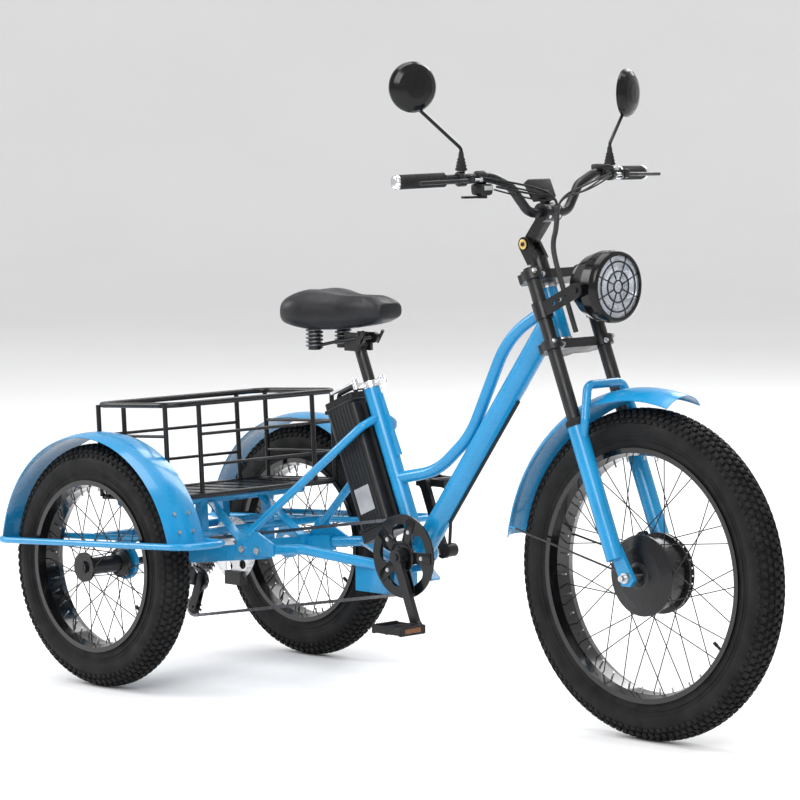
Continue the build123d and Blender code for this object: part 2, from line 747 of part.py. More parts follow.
with BuildPart() as derailleur:
    for y in (chain_y - 7, chain_y + 7):
        with BuildSketch(side_plane(y + 1)) as cage:
            with Locations((rear_x + 12.5, 200)):
                SlotCenterToCenter(74.3, 24, rotation=70.35)
        extrude(to_extrude=cage.sketch, amount=2)
    for place in (guide_pulley, tension_pulley):
        cross_rod(*place, chain_y - 11, chain_y + 9, 6)
    bar(at(25, chain_y - 8, 235), at(25, chain_y - 26, 240), 26, 30, side=(1, 0, 0))
    bar(at(22, chain_y - 24, 238), at(22, -beam_y + 18, 262), 22, 26, side=(1, 0, 0))
    bar(at(22, -beam_y + 16, 240), at(22, -beam_y + 16, 289), 8, 24, side=(0, 1, 0))
keep(derailleur, "derailleur")


def chain_outline(outset):
    """Closed path round the sprockets and pulleys, moved out from the chain line by outset."""
    turns = [(bb_ahead, bb_z, pitch_radius(ring_teeth), 1),
             (0, rear_tyre_r, pitch_radius(cog_teeth[driven_cog]), 1),
             (*guide_pulley, pitch_radius(pulley_teeth), -1),
             (*tension_pulley, pitch_radius(pulley_teeth), 1)]
    signed = [(rear_x + x, z, turn * r + outset, turn) for x, z, r, turn in turns]
    runs = []
    for first, second in zip(signed, signed[1:] + signed[:1]):
        across, up = second[0] - first[0], second[1] - first[1]
        heading = atan2(up, across) - asin((second[2] - first[2]) / hypot(across, up))
        left = (-sin(heading), cos(heading))
        runs.append([(x - r * left[0], z - r * left[1]) for x, z, r, turn in (first, second)])
    for number, run in enumerate(runs):
        Line(*run)
        x, z, r, turn = signed[(number + 1) % len(signed)]
        start = run[1]
        end = runs[(number + 1) % len(runs)][0]
        from_angle = atan2(start[1] - z, start[0] - x)
        swept = (turn * (atan2(end[1] - z, end[0] - x) - from_angle)) % (2 * pi)
        half_way = from_angle + turn * swept / 2
        ThreePointArc(start, (x + abs(r) * cos(half_way), z + abs(r) * sin(half_way)), end)
    return runs


plate_gap = 1.5
plate_t = 1.3
pin_step = 6 * chain_pitch
with BuildPart() as chain:
    for y in (chain_y + plate_gap + plate_t, chain_y - plate_gap):
        with BuildSketch(side_plane(y)) as plates:
            with BuildLine():
                chain_runs = chain_outline(chain_half)
            make_face()
            with BuildLine():
                chain_outline(-chain_half)
            make_face(mode=Mode.SUBTRACT)
        extrude(to_extrude=plates.sketch, amount=plate_t)
    for run in (chain_runs[0], chain_runs[3]):
        first = Vector(run[0][0], 0, run[0][1])
        along = Vector(run[1][0], 0, run[1][1]) - first
        inward = Vector(-along.Z, 0, along.X).normalized() * chain_half
        pins = int((along.length - 80) / pin_step)
        for number in range(pins + 1):
            middle = first + along.normalized() * (40 + number * pin_step) + inward
            rod(middle + Vector(0, chain_y - plate_gap, 0), middle + Vector(0, chain_y + plate_gap, 0), 4)
keep(chain, "chain")

caliper_z = rear_tyre_r - rear_disc_r + 6
with BuildPart() as rear_brake_caliper:
    with Locations(at(6, rear_disc_y, caliper_z)):
        Box(56, 26, 34)
    bar(at(6, rear_disc_y + 10, caliper_z - 10), at(6, rear_disc_y + 10, rear_tyre_r - 6), 5, 34)
    cross_rod(0, rear_tyre_r, rear_disc_y + 7, rear_disc_y + 13, rear_axle_d + 8, mode=Mode.SUBTRACT)
    cross_rod(0, rear_tyre_r, rear_disc_y - disc_slot, rear_disc_y + disc_slot, 2 * rear_disc_r + 6,
              mode=Mode.SUBTRACT)
keep(rear_brake_caliper, "rear_brake_caliper")

# Battery on its rail

rail_from = seat_tube_d / 2 - 1
with BuildPart() as battery_mount:
    rail_middle = rail_from + rail_d / 2
    bar(seat_at(rail_middle, 0, battery_from - 10), seat_at(rail_middle, 0, battery_to - 20), rail_w, rail_d)
    base_middle = rail_from + rail_d / 2 + battery_d / 2
    bar(seat_at(base_middle, 0, battery_from - 26), seat_at(base_middle, 0, battery_from - side_gap),
        battery_w - 8, battery_d + rail_d - 4)
    rod(seat_at(0, 0, 90), seat_at(0, 0, battery_to), seat_tube_d, mode=Mode.SUBTRACT)
keep(battery_mount, "battery_mount")

battery_near = rail_from + rail_d + side_gap
with BuildPart() as battery_case:
    middle = battery_near + battery_d / 2
    case_plane = Plane(origin=seat_at(middle, 0, battery_from), x_dir=seat_back, z_dir=seat_up)
    with BuildSketch(case_plane) as section:
        RectangleRounded(battery_d, battery_w, 12)
    extrude(to_extrude=section.sketch, amount=battery_to - battery_from)
keep(battery_case, "battery_case")

with BuildPart() as battery_handle:
    cap_plane = Plane(origin=seat_at(middle, 0, battery_to), x_dir=seat_back, z_dir=seat_up)
    with BuildSketch(cap_plane) as section:
        RectangleRounded(battery_d - 4, battery_w - 4, 12)
    extrude(to_extrude=section.sketch, amount=14)
    grip_points = [seat_at(middle - 32, 0, battery_to + 12), seat_at(middle - 30, 0, battery_to + 32),
                   seat_at(middle + 30, 0, battery_to + 32), seat_at(middle + 32, 0, battery_to + 12)]
    bent_tube(grip_points, 11, 12)
keep(battery_handle, "battery_handle")

# Seat

collar_at = seat_tube_top + side_gap
lever_y = battery_w / 2 + 8
with BuildPart() as seat_clamp:
    rod(seat_at(0, 0, collar_at), seat_at(0, 0, collar_at + 16), seat_tube_d + 6,
        seatpost_d + 2 * running_gap)
    bar(seat_at(0, -seat_tube_d / 2, collar_at + 8), seat_at(0, -lever_y + 2, collar_at + 8), 14, 14,
        side=seat_back)
    rod(seat_at(0, -lever_y, collar_at + 1), seat_at(0, -lever_y, collar_at + 15), 14)
    rod(seat_at(0, -lever_y, collar_at + 15), seat_at(0, -lever_y, collar_at + 30), 6)
    lock_ring = [seat_at(-22, 0, collar_at + 8), seat_at(-46, 0, collar_at + 20), seat_at(-54, 0, collar_at),
                 seat_at(-34, 0, collar_at - 14)]
    bent_tube(lock_ring, 7, 10)
keep(seat_clamp, "seat_clamp")

with BuildPart() as seat_qr_lever:
    pivot = seat_at(0, -lever_y, collar_at + 15 + side_gap)
    rod(pivot, pivot + seat_up * 9, 14, 6 + 2 * running_gap)
    bar(pivot + seat_up * 4.5 + seat_back * 6, pivot + seat_up * 4.5 + seat_back * 84, 12, 6)
    rod(pivot, pivot + seat_up * 9, 6 + 2 * running_gap, mode=Mode.SUBTRACT)
keep(seat_qr_lever, "seat_qr_lever")

post_top = 528
with BuildPart() as seatpost:
    rod(seat_at(0, 0, 250), seat_at(0, 0, post_top), seatpost_d)
    rod(seat_at(0, -17, post_top + 4), seat_at(0, 17, post_top + 4), 34)
keep(seatpost, "seatpost")

flip_ahead = 575
flip_z = 876
with BuildPart() as saddle_clamp:
    low = seat_at(0, 0, post_top + 4)
    for sign in (-1, 1):
        with Locations(low + Vector(0, sign * 21.5, 6)):
            Box(46, 8, 44)
        cross_rod(flip_ahead, flip_z - 12, sign * 18, sign * 27, 26)
        bar(low + Vector(0, sign * 21.5, 16), at(flip_ahead, sign * 21.5, flip_z - 12), 8, 16)
    cross_rod(flip_ahead, flip_z - 12, -36, 36, 8)
keep(saddle_clamp, "saddle_clamp")

saddle_back = 347
saddle_base_z = 882
rail_end = saddle_back + 94
with BuildPart() as saddle_frame:
    for sign in (-1, 1):
        rail = [at(flip_ahead, sign * 33, flip_z - 12), at(flip_ahead - 60, sign * 33, flip_z - 20),
                at(rail_end, sign * 46, flip_z - 36)]
        bent_tube(rail, 8, 40)
        rod(at(rail_end, sign * 48, flip_z - 44), at(rail_end, sign * 48, saddle_base_z), 30)
        rod(at(flip_ahead, sign * 33, flip_z - 24), at(flip_ahead + 20, sign * 33, saddle_base_z), 8)
    for sign in (-1, 1):
        cross_rod(flip_ahead, flip_z - 12, sign * 31, sign * 35, 20, 8 + 2 * running_gap)
    cross_rod(flip_ahead, flip_z - 12, -60, 60, 8 + 2 * running_gap, mode=Mode.SUBTRACT)
keep(saddle_frame, "saddle_frame")

with BuildPart() as saddle:
    with BuildSketch(Plane.XY.offset(saddle_base_z)) as outline:
        with BuildLine():
            nose = at(saddle_back + saddle_l, 0, 0)
            rear = at(saddle_back, 0, 0)
            half = saddle_w / 2
            FilletPolyline(
                (rear.X, -half * 0.4), (rear.X + 8, -half * 0.92), (rear.X + 62, -half),
                (rear.X + 150, -half * 0.66), (nose.X - 118, -44), (nose.X, -30), (nose.X, 30),
                (nose.X - 118, 44), (rear.X + 150, half * 0.66), (rear.X + 62, half),
                (rear.X + 8, half * 0.92), (rear.X, half * 0.4),
                radius=26, close=True,
            )
        make_face()
    extrude(to_extrude=outline.sketch, amount=saddle_t)
    fillet(saddle.edges().group_by(Axis.Z)[-1], radius=14)
keep(saddle, "saddle")

# Cockpit on the steering head

stem_pivot = fork_at(-12, 0, crown_pitch + 92)
bar_clamp = fork_at(70, 0, crown_pitch + 139)
ear_y = 11 + side_gap
with BuildPart() as stem_base:
    rod(fork_at(0, 0, crown_pitch + crown_t / 2), fork_at(0, 0, crown_pitch + 52), 42, steerer_d)
    rod(fork_at(0, 0, crown_pitch + 30), fork_at(0, 0, crown_pitch + 52), steerer_d)
    for sign in (-1, 1):
        low = fork_at(-2, sign * (ear_y + 4.5), crown_pitch + 46)
        bar(low, stem_pivot + Vector(0, sign * (ear_y + 4.5), 0), 9, 34)
        rod(stem_pivot + Vector(0, sign * ear_y, 0), stem_pivot + Vector(0, sign * (ear_y + 9), 0), 34)
    rod(stem_pivot + Vector(0, -ear_y - 14, 0), stem_pivot + Vector(0, ear_y + 14, 0), 9)
    rod(stem_pivot + Vector(0, -ear_y - 12, 0), stem_pivot + Vector(0, -ear_y - 9, 0), 26)
keep(stem_base, "stem_base")

with BuildPart() as stem_arm:
    rod(stem_pivot + Vector(0, -11, 0), stem_pivot + Vector(0, 11, 0), 32)
    bar(stem_pivot, bar_clamp, 22, 28)
    rod(bar_clamp + Vector(0, -26, 0), bar_clamp + Vector(0, 26, 0), 44)
    rod(bar_clamp + Vector(0, -30, 0), bar_clamp + Vector(0, 30, 0), bar_d, mode=Mode.SUBTRACT)
    rod(stem_pivot + Vector(0, -20, 0), stem_pivot + Vector(0, 20, 0), 9 + 2 * running_gap,
        mode=Mode.SUBTRACT)
keep(stem_arm, "stem_arm")

bar_shape = [(0, -64, 0), (-10, -112, 60), (-14, -170, 84), (-80, -412, 78)]


def bar_point(number, sign=-1):
    """Corner of the handlebar, counted from its middle, on the right or left."""
    ahead, y, up = bar_shape[number]
    return bar_clamp + Vector(ahead, y * -sign, up)


bar_corners = [bar_point(number, -1) for number in (3, 2, 1, 0)]
bar_corners += [bar_point(number, 1) for number in (0, 1, 2, 3)]
with BuildPart() as handlebar:
    bent_tube(bar_corners, bar_d, [60, 40, 40, 40, 40, 60])
keep(handlebar, "handlebar")


def along_bar(share, sign):
    """Point on the bar's outer run, from its last bend at 0 to its end at 1."""
    inner = bar_point(2, sign)
    return inner + (bar_point(3, sign) - inner) * share


with BuildPart() as grips:
    for sign in (-1, 1):
        rod(along_bar(0.5, sign), along_bar(1, sign), grip_d, bar_d)
        rod(along_bar(1, sign), along_bar(1.012, sign), grip_d)
keep(grips, "grips")

def lever_hinge(sign):
    """Pivot of a brake lever, ahead of its clamp on the bar."""
    return along_bar(0.32, sign) + Vector(44, sign * 10, -2)


with BuildPart() as bar_controls:
    for sign in (-1, 1):
        rod(along_bar(0.28, sign), along_bar(0.36, sign), bar_d + 12, bar_d)
        hinge = lever_hinge(sign)
        bar(along_bar(0.32, sign) + Vector(13, 0, 0), hinge + Vector(-11, 0, 0), 14, 18)
        bar(hinge + Vector(-20, 0, 9.5), hinge + Vector(7, 0, 9.5), 14, 4)
        rod(hinge + Vector(0, 0, -9), hinge + Vector(0, 0, 9), 5)
        rod(along_bar(0.08, sign), along_bar(0.17, sign), bar_d + 10, bar_d)
    pod = along_bar(0.125, -1) + Vector(8, -2, -26)
    with Locations(pod):
        Box(42, 38, 26)
    switch = along_bar(0.12, 1) + Vector(4, 0, 14)
    with Locations(switch):
        Box(40, 30, 14)
    with Locations(Location(tuple(bar_clamp + Vector(-22, 0, 50)), (0, -35, 0))):
        Box(22, 78, 52)
    bar(bar_clamp + Vector(-2, 0, 21), bar_clamp + Vector(-18, 0, 44), 30, 14)
keep(bar_controls, "bar_controls")

for side, sign in (("right", -1), ("left", 1)):
    hinge = lever_hinge(sign)
    run = (along_bar(1, sign) - along_bar(0, sign)).normalized()
    with BuildPart() as brake_lever:
        rod(hinge + Vector(0, 0, -7), hinge + Vector(0, 0, 7), 14)
        blade = [hinge, hinge + run * 40 + Vector(8, 0, 0), hinge + run * 146 + Vector(14, 0, 0)]
        bent_tube(blade, 9, 40)
        rod(hinge + Vector(0, 0, -12), hinge + Vector(0, 0, 12), 5 + 2 * running_gap, mode=Mode.SUBTRACT)
    keep(brake_lever, f"brake_lever_{side}")

with BuildPart() as shift_lever:
    pivot = pod + Vector(0, 0, -13 - side_gap)
    rod(pivot, pivot + Vector(0, 0, -6), 24)
    bar(pivot + Vector(0, -6, -3), pivot + Vector(-12, -50, -3), 14, 5, side=(1, 0, 0))
keep(shift_lever, "shift_lever")

mirror_turn = radians(20)
for side, sign, head in (("right", -1, at(1089, -352, 1468)), ("left", 1, at(1089, 366, 1446))):
    foot = along_bar(0.32, sign) + Vector(0, 0, bar_d / 2 + 6 + 2 * side_gap)
    facing = Vector(cos(mirror_turn), sign * sin(mirror_turn), 0)
    neck = head + Vector(-5, -sign * 20, -50)
    with BuildPart() as mirror_piece:
        rod(foot, foot + Vector(0, 0, 14), 20)
        rod(foot + Vector(0, 0, 14), foot + Vector(0, 0, 30), 12)
        bent_tube([foot + Vector(0, 0, 28), foot + Vector(0, 0, 50), neck], 8, 14)
        turned(head - facing * 12, facing, [
            (0, 0), (0, mirror_r), (6, mirror_r), (14, mirror_r - 5), (21, mirror_r - 16),
            (26, mirror_r - 32), (28, 0),
        ])
    keep(mirror_piece, f"mirror_{side}")

# Headlight

lamp_pivot_ahead = 1340
lamp_z = 1013
lamp_arm_y = 95
with BuildPart() as lamp_brackets:
    for sign in (-1, 1):
        clamp = fork_at(stanchion_ahead, sign * stanchion_y, 62)
        rod(clamp, clamp + steer_up * 40, stanchion_d + 10, stanchion_d)
        start = clamp + steer_up * 20 + Vector(18, sign * 10, 6)
        end = at(lamp_pivot_ahead, sign * lamp_arm_y, lamp_z)
        start = Vector(start.X, sign * lamp_arm_y, start.Z)
        bar(start, end, 4, 34)
        cross_rod(lamp_pivot_ahead, lamp_z, sign * (lamp_arm_y - 2), sign * (lamp_arm_y + 2), 34)
        cross_rod(lamp_pivot_ahead, lamp_z, sign * (lamp_arm_y + 2), sign * (lamp_arm_y + 7), 14)
        for share in (0.3, 0.5, 0.7):
            hole = start + (end - start) * share
            cross_rod(hole.X - rear_x, hole.Z, sign * 80, sign * 110, 9, mode=Mode.SUBTRACT)
keep(lamp_brackets, "lamp_brackets")

with BuildPart() as headlight_housing:
    turned(at(1384, 0, lamp_z + 5), (-1, 0, 0), [
        (0, lamp_r - 12), (0, lamp_r - 9), (6, lamp_r - 3), (18, lamp_r), (44, lamp_r * 0.98),
        (76, lamp_r * 0.86), (104, lamp_r * 0.62), (122, lamp_r * 0.3), (127, 0), (123, 0),
        (117, lamp_r * 0.26), (100, lamp_r * 0.56), (73, lamp_r * 0.79), (42, lamp_r - 7),
        (16, lamp_r - 6), (16, lamp_r - 12),
    ])
    for sign in (-1, 1):
        cross_rod(lamp_pivot_ahead, lamp_z, sign * (lamp_r - 8), sign * (lamp_arm_y - 2 - side_gap), 20)
keep(headlight_housing, "headlight_housing")

with BuildPart() as headlight_lens:
    turned(at(1380, 0, lamp_z + 5), (-1, 0, 0), [(0, 0), (0, lamp_r - 12), (7, lamp_r - 12), (7, 0)])
keep(headlight_lens, "headlight_lens")

# Small electrics and cables

conduit_low = bb + down_run * 128 - down_normal * (down_tube_d / 2 + 3)
conduit_high = bb + down_run * 500 - down_normal * (down_tube_d / 2 + 3)
horn_at = at(846, 0, 376)
with BuildPart() as frame_electrics:
    rod(conduit_low, conduit_high, 8)
    rod(conduit_low + down_run, horn_at, 8)
    rod(horn_at + Vector(0, -15, 0), horn_at + Vector(0, 15, 0), 32)
keep(frame_electrics, "frame_electrics")

loom_points = [
    bar_clamp + Vector(46, -20, 10), bar_clamp + Vector(48, -22, -30), fork_at(72, -20, crown_pitch + 62),
    fork_at(66, -20, crown_pitch + 10), fork_at(68, -22, crown_pitch - 60), fork_at(66, -20, 20),
]
loom_top = loom_points[0]
control_runs = [
    (along_bar(0.24, -1) + Vector(26, 12, 2), Vector(34, -96, 66), 5),
    (along_bar(0.1, -1) + Vector(30, 14, -20), Vector(42, -72, 40), 5),
    (along_bar(0.24, 1) + Vector(26, -12, 2), Vector(38, 92, 62), 5),
    (along_bar(0.1, 1) + Vector(28, -10, -6), Vector(52, 66, 44), 4),
]
with BuildPart() as steering_cables:
    bent_tube(loom_points, 12, [30, 40, 40, 60])
    for start, over, thick in control_runs:
        bent_tube([start, bar_clamp + over, loom_top + Vector(6, 0, 26), loom_top - Vector(0, 0, 8)],
                  thick, [30, 18])
keep(steering_cables, "steering_cables")
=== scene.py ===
"""Adult cargo tricycle: tyres, saddle, grips, lamp, chain, battery, finishes and a studio."""
from math import cos, hypot, pi, radians, sin

import bmesh
import bpy
from bpy.props import FloatProperty, FloatVectorProperty, IntProperty, PointerProperty
from mathutils import Matrix, Vector


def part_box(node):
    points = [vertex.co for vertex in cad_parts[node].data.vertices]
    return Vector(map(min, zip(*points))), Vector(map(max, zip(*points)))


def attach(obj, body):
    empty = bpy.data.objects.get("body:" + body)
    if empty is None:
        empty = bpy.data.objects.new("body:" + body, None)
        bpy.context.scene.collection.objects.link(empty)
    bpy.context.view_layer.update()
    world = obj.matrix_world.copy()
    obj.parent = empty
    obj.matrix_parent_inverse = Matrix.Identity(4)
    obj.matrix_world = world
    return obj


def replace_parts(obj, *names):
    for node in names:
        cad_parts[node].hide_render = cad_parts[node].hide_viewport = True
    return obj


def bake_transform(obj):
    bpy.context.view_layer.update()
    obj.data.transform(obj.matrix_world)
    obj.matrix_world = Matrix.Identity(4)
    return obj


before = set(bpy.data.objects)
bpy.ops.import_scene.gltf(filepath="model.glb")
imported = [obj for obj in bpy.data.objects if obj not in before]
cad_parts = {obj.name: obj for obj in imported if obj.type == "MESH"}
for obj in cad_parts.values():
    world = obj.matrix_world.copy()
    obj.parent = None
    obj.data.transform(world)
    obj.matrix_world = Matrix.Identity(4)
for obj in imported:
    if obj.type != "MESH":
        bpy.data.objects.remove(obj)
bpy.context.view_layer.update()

bl_info = {
    "name": "Adult Cargo Tricycle",
    "version": (1, 0, 0),
    "blender": (4, 5, 0),
    "location": "View3D > Sidebar > Tricycle",
    "description": "Adds the soft parts, small parts and finishes of a cargo tricycle to its frame",
    "category": "Add Mesh",
}


def middle(node):
    """Centre of a node's box."""
    low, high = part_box(node)
    return (Vector(low) + Vector(high)) / 2


def size(node):
    """Length, width and height of a node's box."""
    low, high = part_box(node)
    return Vector(high) - Vector(low)


STEER_LEAN = radians(22)
STEER_UP = Vector((-sin(STEER_LEAN), 0, cos(STEER_LEAN)))
STEER_AHEAD = Vector((cos(STEER_LEAN), 0, sin(STEER_LEAN)))
SEAT_LEAN = radians(22.8)
SEAT_UP = Vector((-sin(SEAT_LEAN), 0, cos(SEAT_LEAN)))
SEAT_BACK = Vector((-cos(SEAT_LEAN), 0, -sin(SEAT_LEAN)))
ACROSS = Vector((0, 1, 0))
SIDES = ((-1, "right"), (1, "left"))

FRONT_AXLE = (0.721, 0, 0.376)
FENDER_INSIDE = 0.374
REAR_AXLE_X = -0.759
LOWER_CROWN = Vector((0.45835, 0, 0.869))
CROWN_PITCH = 0.168
STANCHION_AHEAD = 0.044
STANCHION_OUT = 0.084
SEAL_DOWN = 0.184
BAR_CLAMP = Vector((0.40825, 0, 1.1799))
BAR_RADIUS = 0.0113
GRIP_BORE = 0.0118
LEVER_SHARE = 0.32
DISPLAY_LEAN = radians(-35)
MIRROR_HEADS = {"right": Vector((0.330, -0.352, 1.468)), "left": Vector((0.330, 0.366, 1.446))}
MIRROR_TURN = radians(20)
MIRROR_RADIUS = 0.057
CASING_SHARE = 0.48
RIM_LIP = 0.008
SPOKES = 36
VALVE_ANGLE = 2.2
CHAIN_PITCH = 0.0127


class TricyclePaint(bpy.types.PropertyGroup):
    """Colours of the paint, the leather and the reflectors."""
    blue: FloatVectorProperty(name="Enamel", description="Colour of the frame and fenders",
                              subtype="COLOR", size=3, min=0, max=1, default=(0.004, 0.225, 0.47))
    black: FloatVectorProperty(name="Black", description="Colour of the basket, bar and rims",
                               subtype="COLOR", size=3, min=0, max=1, default=(0.006, 0.006, 0.007))
    leather: FloatVectorProperty(name="Saddle", description="Colour of the saddle cover",
                                 subtype="COLOR", size=3, min=0, max=1,
                                 default=(0.006, 0.0062, 0.008))
    amber: FloatVectorProperty(name="Reflector", description="Colour of the pedal reflectors",
                               subtype="COLOR", size=3, min=0, max=1, default=(0.9, 0.28, 0.02))


class TricycleTyres(bpy.types.PropertyGroup):
    """Sizes of the tread."""
    block_height: FloatProperty(name="Block height", description="Height of the tread blocks",
                                subtype="DISTANCE", unit="LENGTH", min=0.001, default=0.0058)
    block_pitch: FloatProperty(name="Block pitch", description="Distance between rows of blocks",
                               subtype="DISTANCE", unit="LENGTH", min=0.01, default=0.0205)


class TricycleSaddle(bpy.types.PropertyGroup):
    """Shape of the padded saddle."""
    dip: FloatProperty(name="Dip", description="Depth of the hollow along the middle",
                       subtype="DISTANCE", unit="LENGTH", min=0, default=0.009)
    swell: FloatProperty(name="Swell", description="Farthest that the filling pushes the cover out",
                         subtype="DISTANCE", unit="LENGTH", min=0, default=0.006)
    spring_turns: IntProperty(name="Spring turns", description="Turns of each rear spring",
                              min=2, default=5)


class TricycleStudio(bpy.types.PropertyGroup):
    """Floor, lights and camera."""
    floor: FloatVectorProperty(name="Floor", description="Colour of the floor and backdrop",
                               subtype="COLOR", size=3, min=0, max=1, default=(0.90, 0.90, 0.905))
    lens: FloatProperty(name="Lens", description="Focal length of the camera in millimetres",
                        min=20, default=177.4)
    key_power: FloatProperty(name="Key light", description="Power of the main light in watts",
                             min=0, default=430)


# Finishes

class Finish:
    """Material in the making: its shader's sockets, its nodes and the place its patterns read."""

    def __init__(self, name, colour, roughness, metallic=0.0):
        self.colour = colour
        self.material = bpy.data.materials.new(name)
        self.material.use_nodes = True
        self.nodes = self.material.node_tree.nodes
        self.surface = self.nodes["Principled BSDF"].inputs
        self.surface["Base Color"].default_value = (*colour, 1)
        self.surface["Roughness"].default_value = roughness
        self.surface["Metallic"].default_value = metallic
        self.place = self.node("TexCoord").outputs["Object"]

    def node(self, kind, plain=(), **sources):
        """New node with its plain settings and the outputs that feed it."""
        made = self.nodes.new("ShaderNode" + kind)
        for name, value in dict(plain).items():
            made.inputs[name].default_value = value
        for name, source in sources.items():
            self.join(source, made.inputs[name])
        return made

    def join(self, source, socket):
        """Links an output to a socket."""
        self.material.node_tree.links.new(source, socket)

    def noise(self, scale, detail):
        """Noise across the piece."""
        plain = {"Scale": scale, "Detail": detail}
        return self.node("TexNoise", plain, Vector=self.place).outputs["Fac"]

    def cloudy(self, spread, scale):
        """Slight light and dark patches in the colour."""
        ramp = self.node("ValToRGB", Fac=self.noise(scale, 5))
        dark, light = ramp.color_ramp.elements
        dark.position, light.position = 0.35, 0.65
        dark.color = (*[c * (1 - spread) for c in self.colour], 1)
        light.color = (*[min(1, c * (1 + spread) + spread * 0.004) for c in self.colour], 1)
        self.join(ramp.outputs["Color"], self.surface["Base Color"])
        return ramp

    def uneven_gloss(self, low, high, scale):
        """Roughness that wanders between two values."""
        span = {"From Min": 0.3, "From Max": 0.7, "To Min": low, "To Max": high}
        spread = self.node("MapRange", span, Value=self.noise(scale, 6))
        self.join(spread.outputs["Result"], self.surface["Roughness"])

    def relief(self, height, distance, strength):
        """Bump from a height."""
        bump = self.node("Bump", {"Distance": distance, "Strength": strength}, Height=height)
        self.join(bump.outputs["Normal"], self.surface["Normal"])


def enamel(name, colour, roughness, coat, shine):
    """Gloss paint with a faint orange peel under a clear coat."""
    paint = Finish(name, colour, roughness)
    paint.surface["Specular IOR Level"].default_value = shine
    paint.surface["Coat Weight"].default_value = coat
    paint.surface["Coat Roughness"].default_value = 0.05
    paint.cloudy(0.07, 9)
    paint.uneven_gloss(roughness * 0.8, roughness * 1.35, 24)
    paint.relief(paint.noise(420, 3), 0.00006, 0.35)
    return paint


def black_inside(paint, axle, reach):
    """Turns a paint black nearer to a cross axle than a reach, for a fender's wire stays."""
    flat = paint.node("VectorMath", {1: (1, 0, 1)})
    flat.operation = "MULTIPLY"
    paint.join(paint.place, flat.inputs[0])
    away = paint.node("VectorMath", {1: axle})
    away.operation = "DISTANCE"
    paint.join(flat.outputs["Vector"], away.inputs[0])
    near = paint.node("Math", {1: reach})
    near.operation = "LESS_THAN"
    paint.join(away.outputs["Value"], near.inputs[0])
    mixed = paint.node("Mix")
    mixed.data_type = "RGBA"
    factor, outside, inside = mixed.inputs[0], mixed.inputs[6], mixed.inputs[7]
    paint.join(near.outputs["Value"], factor)
    paint.join(paint.surface["Base Color"].links[0].from_socket, outside)
    inside.default_value = (0.006, 0.006, 0.0065, 1)
    paint.join(mixed.outputs[2], paint.surface["Base Color"])
    return paint


def metal(name, colour, low, high, stretch=(1, 1, 1), scratches=0.25):
    """Machined or anodised metal with fine streaks."""
    alloy = Finish(name, colour, low, 1.0)
    alloy.cloudy(0.12, 14)
    alloy.uneven_gloss(low, high, 40)
    turn = alloy.node("Mapping", {"Scale": stretch}, Vector=alloy.place)
    streaks = alloy.node("TexNoise", {"Scale": 600}, Vector=turn.outputs["Vector"])
    alloy.relief(streaks.outputs["Fac"], 0.00005, scratches)
    return alloy


def moulded(name, colour, low=0.38, high=0.6, grain=900, depth=0.00012):
    """Moulded plastic with a fine spark-eroded grain."""
    plastic = Finish(name, colour, low)
    plastic.surface["Specular IOR Level"].default_value = 0.3
    plastic.cloudy(0.15, 30)
    plastic.uneven_gloss(low, high, 60)
    plastic.relief(plastic.noise(grain, 3), depth, 0.5)
    return plastic


def tyre_rubber(name):
    """Dull rubber, dusty in patches, with a fine mould texture."""
    rubber = Finish(name, (0.004, 0.004, 0.0044), 0.7)
    rubber.surface["Specular IOR Level"].default_value = 0.2
    dust = rubber.cloudy(0.3, 18)
    dust.color_ramp.elements[1].color = (0.0085, 0.0085, 0.009, 1)
    rubber.uneven_gloss(0.5, 0.78, 26)
    rubber.relief(rubber.noise(700, 5), 0.00018, 0.5)
    return rubber


def hide(name, colour):
    """Saddle cover: pebbled leather with shallow wrinkles."""
    leather = Finish(name, colour, 0.45)
    leather.surface["Specular IOR Level"].default_value = 0.36
    leather.cloudy(0.25, 22)
    leather.uneven_gloss(0.36, 0.56, 30)
    pebbles = leather.node("TexVoronoi", {"Scale": 520}, Vector=leather.place)
    pebbles.feature = "SMOOTH_F1"
    both = leather.node("Math", {1: 0.6})
    both.operation = "MULTIPLY_ADD"
    leather.join(pebbles.outputs["Distance"], both.inputs[0])
    leather.join(leather.noise(60, 6), both.inputs[2])
    leather.relief(both.outputs["Value"], 0.0004, 0.55)
    return leather


def braid(name):
    """Woven cable sleeve with crossing strands."""
    sleeve = Finish(name, (0.02, 0.02, 0.022), 0.6)
    sleeve.cloudy(0.5, 260)
    weave = sleeve.node("TexChecker", {"Scale": 420}, Vector=sleeve.place)
    sleeve.relief(weave.outputs["Fac"], 0.0004, 0.6)
    return sleeve


def clear(name, colour, roughness):
    """Clear lens or tinted reflector with moulded ribs."""
    lens = Finish(name, colour, roughness)
    lens.surface["Transmission Weight"].default_value = 0.85
    lens.surface["IOR"].default_value = 1.49
    ribs = lens.node("TexVoronoi", {"Scale": 260}, Vector=lens.place)
    lens.relief(ribs.outputs["Distance"], 0.0005, 0.5)
    lens.uneven_gloss(roughness, roughness + 0.08, 80)
    return lens


